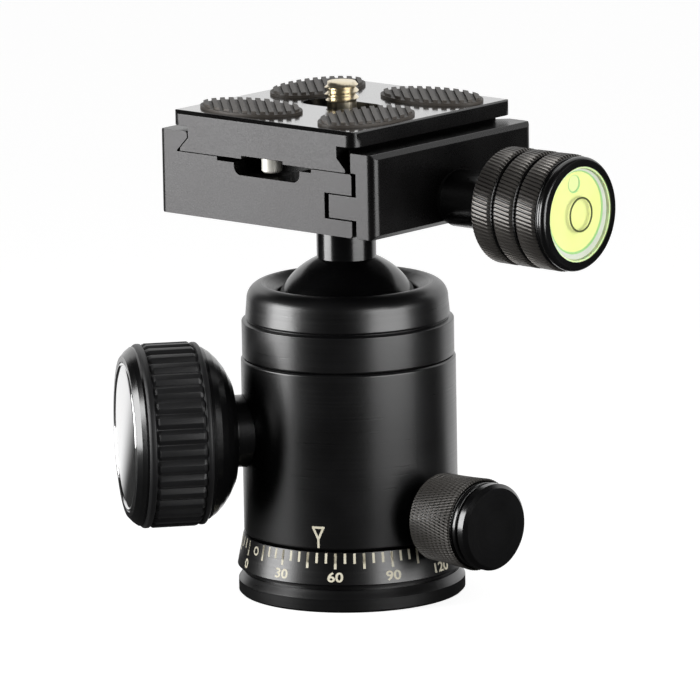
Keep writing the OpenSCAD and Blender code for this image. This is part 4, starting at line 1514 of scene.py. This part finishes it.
@dataclass
class Studio:
    """White sweep on the far side, a dark table and room on the near side, and two low soft boxes.

    The paper, table and room are how bright each is, the glow what the paper gives off where it is
    white, and the fill what the room gives matt surfaces. The sweep is the direction of its middle,
    and its edges are degrees from there: where it has faded away, and where it is full. Straight
    overhead, where there is no direction, a tiny length keeps the mask finite.
    """

    floor_size: float = 6.0
    paper: float = 0.42
    glow: float = 0.8
    table: float = 0.03
    room: float = 0.018
    fill: float = 0.4
    sweep: float = 119.5
    sweep_edges: tuple[float, float] = (53.5, 43.5)
    overhead: float = 1e-5
    paper_rough: float = 0.8
    paper_gloss: float = 0.05
    aim: float = 0.05
    lamps: tuple[SoftBox, ...] = (
        SoftBox("left_box", -127, 7, 0.22, (0.134, 0.146), 8.6),
        SoftBox("right_box", -2, 8, 0.26, (0.22, 0.166), 4.6))

    def build(self) -> None:
        """Sets the surround, lays the floor and hangs the lamps."""
        bpy.context.scene.view_settings.view_transform = "Standard"
        self.surround()
        self.floor()
        for lamp in self.lamps:
            lamp.hang(Vector((0, 0, self.aim)))

    def far_side(self, tree: bpy.types.NodeTree, coordinates: str) -> bpy.types.NodeSocket:
        """A mask of the compass directions that the sweep takes up, with soft edges.

        Args:
            tree: Tree that the mask is for.
            coordinates: Which texture coordinates hold the direction or place.

        Returns:
            The mask, from 0 on the near side to 1 on the sweep.
        """
        parts = shade_node(tree, "ShaderNodeSeparateXYZ")
        tree.links.new(shade_node(tree, "ShaderNodeTexCoord").outputs[coordinates], parts.inputs[0])
        x, y = parts.outputs["X"], parts.outputs["Y"]
        y_square = math_node(tree, "MULTIPLY", y, y)
        reach = math_node(tree, "SQRT", math_node(tree, "MULTIPLY_ADD", x, x, y_square))
        turn = math.radians(self.sweep)
        y_part = math_node(tree, "MULTIPLY", y, math.sin(turn))
        ahead = math_node(tree, "MULTIPLY_ADD", x, math.cos(turn), y_part)
        cosine = math_node(tree, "DIVIDE", ahead, math_node(tree, "ADD", reach, self.overhead))
        mask = shade_node(tree, "ShaderNodeMapRange", interpolation_type="SMOOTHSTEP")
        feed(tree, mask.inputs["Value"], cosine)
        for name, edge in zip(("From Min", "From Max"), self.sweep_edges):
            feed(tree, mask.inputs[name], math.cos(math.radians(edge)))
        return mask.outputs["Result"]

    def shown(self, tree: bpy.types.NodeTree, rays: bpy.types.NodeOutputs,
              mask: bpy.types.NodeSocket) -> bpy.types.NodeSocket:
        """Where the background shows: to the camera everywhere, and in gloss and glass on the sweep.

        Args:
            tree: Tree that the mask is for.
            rays: Outputs of its Light Path node.
            mask: Mask of the sweep.

        Returns:
            The mask, from 0 to 1.
        """
        bounced = math_node(tree, "ADD", rays["Is Glossy Ray"], rays["Is Transmission Ray"])
        both = math_node(tree, "MULTIPLY_ADD", bounced, mask, rays["Is Camera Ray"])
        return math_node(tree, "MINIMUM", both, 1.0)

    def surround(self) -> None:
        """A dark room with a white sweep on its far side, and an even fill for matt surfaces."""
        world = bpy.data.worlds.new("surround")
        world.use_nodes = True
        tree = world.node_tree
        rays = shade_node(tree, "ShaderNodeLightPath").outputs
        shown = self.shown(tree, rays, self.far_side(tree, "Generated"))
        filled = math_node(tree, "MULTIPLY_ADD", rays["Is Diffuse Ray"], self.fill, self.room)
        strength = math_node(tree, "MULTIPLY_ADD", shown, 1 - self.room, filled)
        light = tree.nodes["Background"]
        light.inputs["Color"].default_value = (1, 1, 1, 1)
        tree.links.new(strength, light.inputs["Strength"])
        bpy.context.scene.world = world

    def floor(self) -> None:
        """Lays the floor under the base, as pale as the sweep to the camera and on the far side."""
        half = self.floor_size / 2
        made = bmesh.new()
        corners = ((-half, -half, 0), (half, -half, 0), (half, half, 0), (-half, half, 0))
        made.faces.new([made.verts.new(corner) for corner in corners])
        mesh = bpy.data.meshes.new("floor")
        made.to_mesh(mesh)
        made.free()
        paper = bpy.data.materials.new("pale_paper")
        paper.use_nodes = True
        tree = paper.node_tree
        shader = tree.nodes["Principled BSDF"]
        far = self.far_side(tree, "Object")
        shown = self.shown(tree, shade_node(tree, "ShaderNodeLightPath").outputs, far)
        bright = math_node(tree, "MAXIMUM", far, shown)
        grey = math_node(tree, "MULTIPLY_ADD", bright, self.paper - self.table, self.table)
        tree.links.new(grey, shader.inputs["Base Color"])
        shader.inputs["Roughness"].default_value = self.paper_rough
        shader.inputs["Specular IOR Level"].default_value = self.paper_gloss
        shader.inputs["Emission Color"].default_value = (1, 1, 1, 1)
        tree.links.new(math_node(tree, "MULTIPLY", shown, self.glow), shader.inputs["Emission Strength"])
        mesh.materials.append(paper)
        floor = bpy.data.objects.new("floor", mesh)
        bpy.context.scene.collection.objects.link(floor)


@dataclass
class PhotoCamera:
    """Camera at the photograph's viewing angle, aimed at the middle of the object.

    The field is the width that it sees at the object, in metres, and the lean is in degrees.
    """

    place: tuple[float, float, float] = (0.983, -1.127, 0.347)
    field: float = 0.128
    lean: float = 1.0
    sensor: float = 36.0
    near: float = 0.05

    def build(self) -> None:
        """Makes the camera the scene's own."""
        low, high = CAD_BOX
        target = (low + high) / 2
        here = Vector(self.place)
        away = here - target
        data = bpy.data.cameras.new("photo_camera")
        data.sensor_width = self.sensor
        data.lens = self.sensor * away.length / self.field
        data.clip_start = self.near
        camera = bpy.data.objects.new("photo_camera", data)
        turn = away.to_track_quat("Z", "Y").to_matrix().to_4x4()
        roll = Matrix.Rotation(math.radians(-self.lean), 4, "Z")
        camera.matrix_world = Matrix.Translation(here) @ turn @ roll
        bpy.context.scene.collection.objects.link(camera)
        bpy.context.scene.camera = camera


def main() -> None:
    """Builds the studio and each sub-assembly in turn."""
    logging.basicConfig(level=logging.INFO, format="%(message)s")
    for part in (PhotoCamera(), Studio(), PanBase(), Housing(), MainKnob(), PanKnob(), Ball(), Clamp(),
                 ClampKnob(), QuickPlate()):
        part.build()


if __name__ == "__main__":
    main()
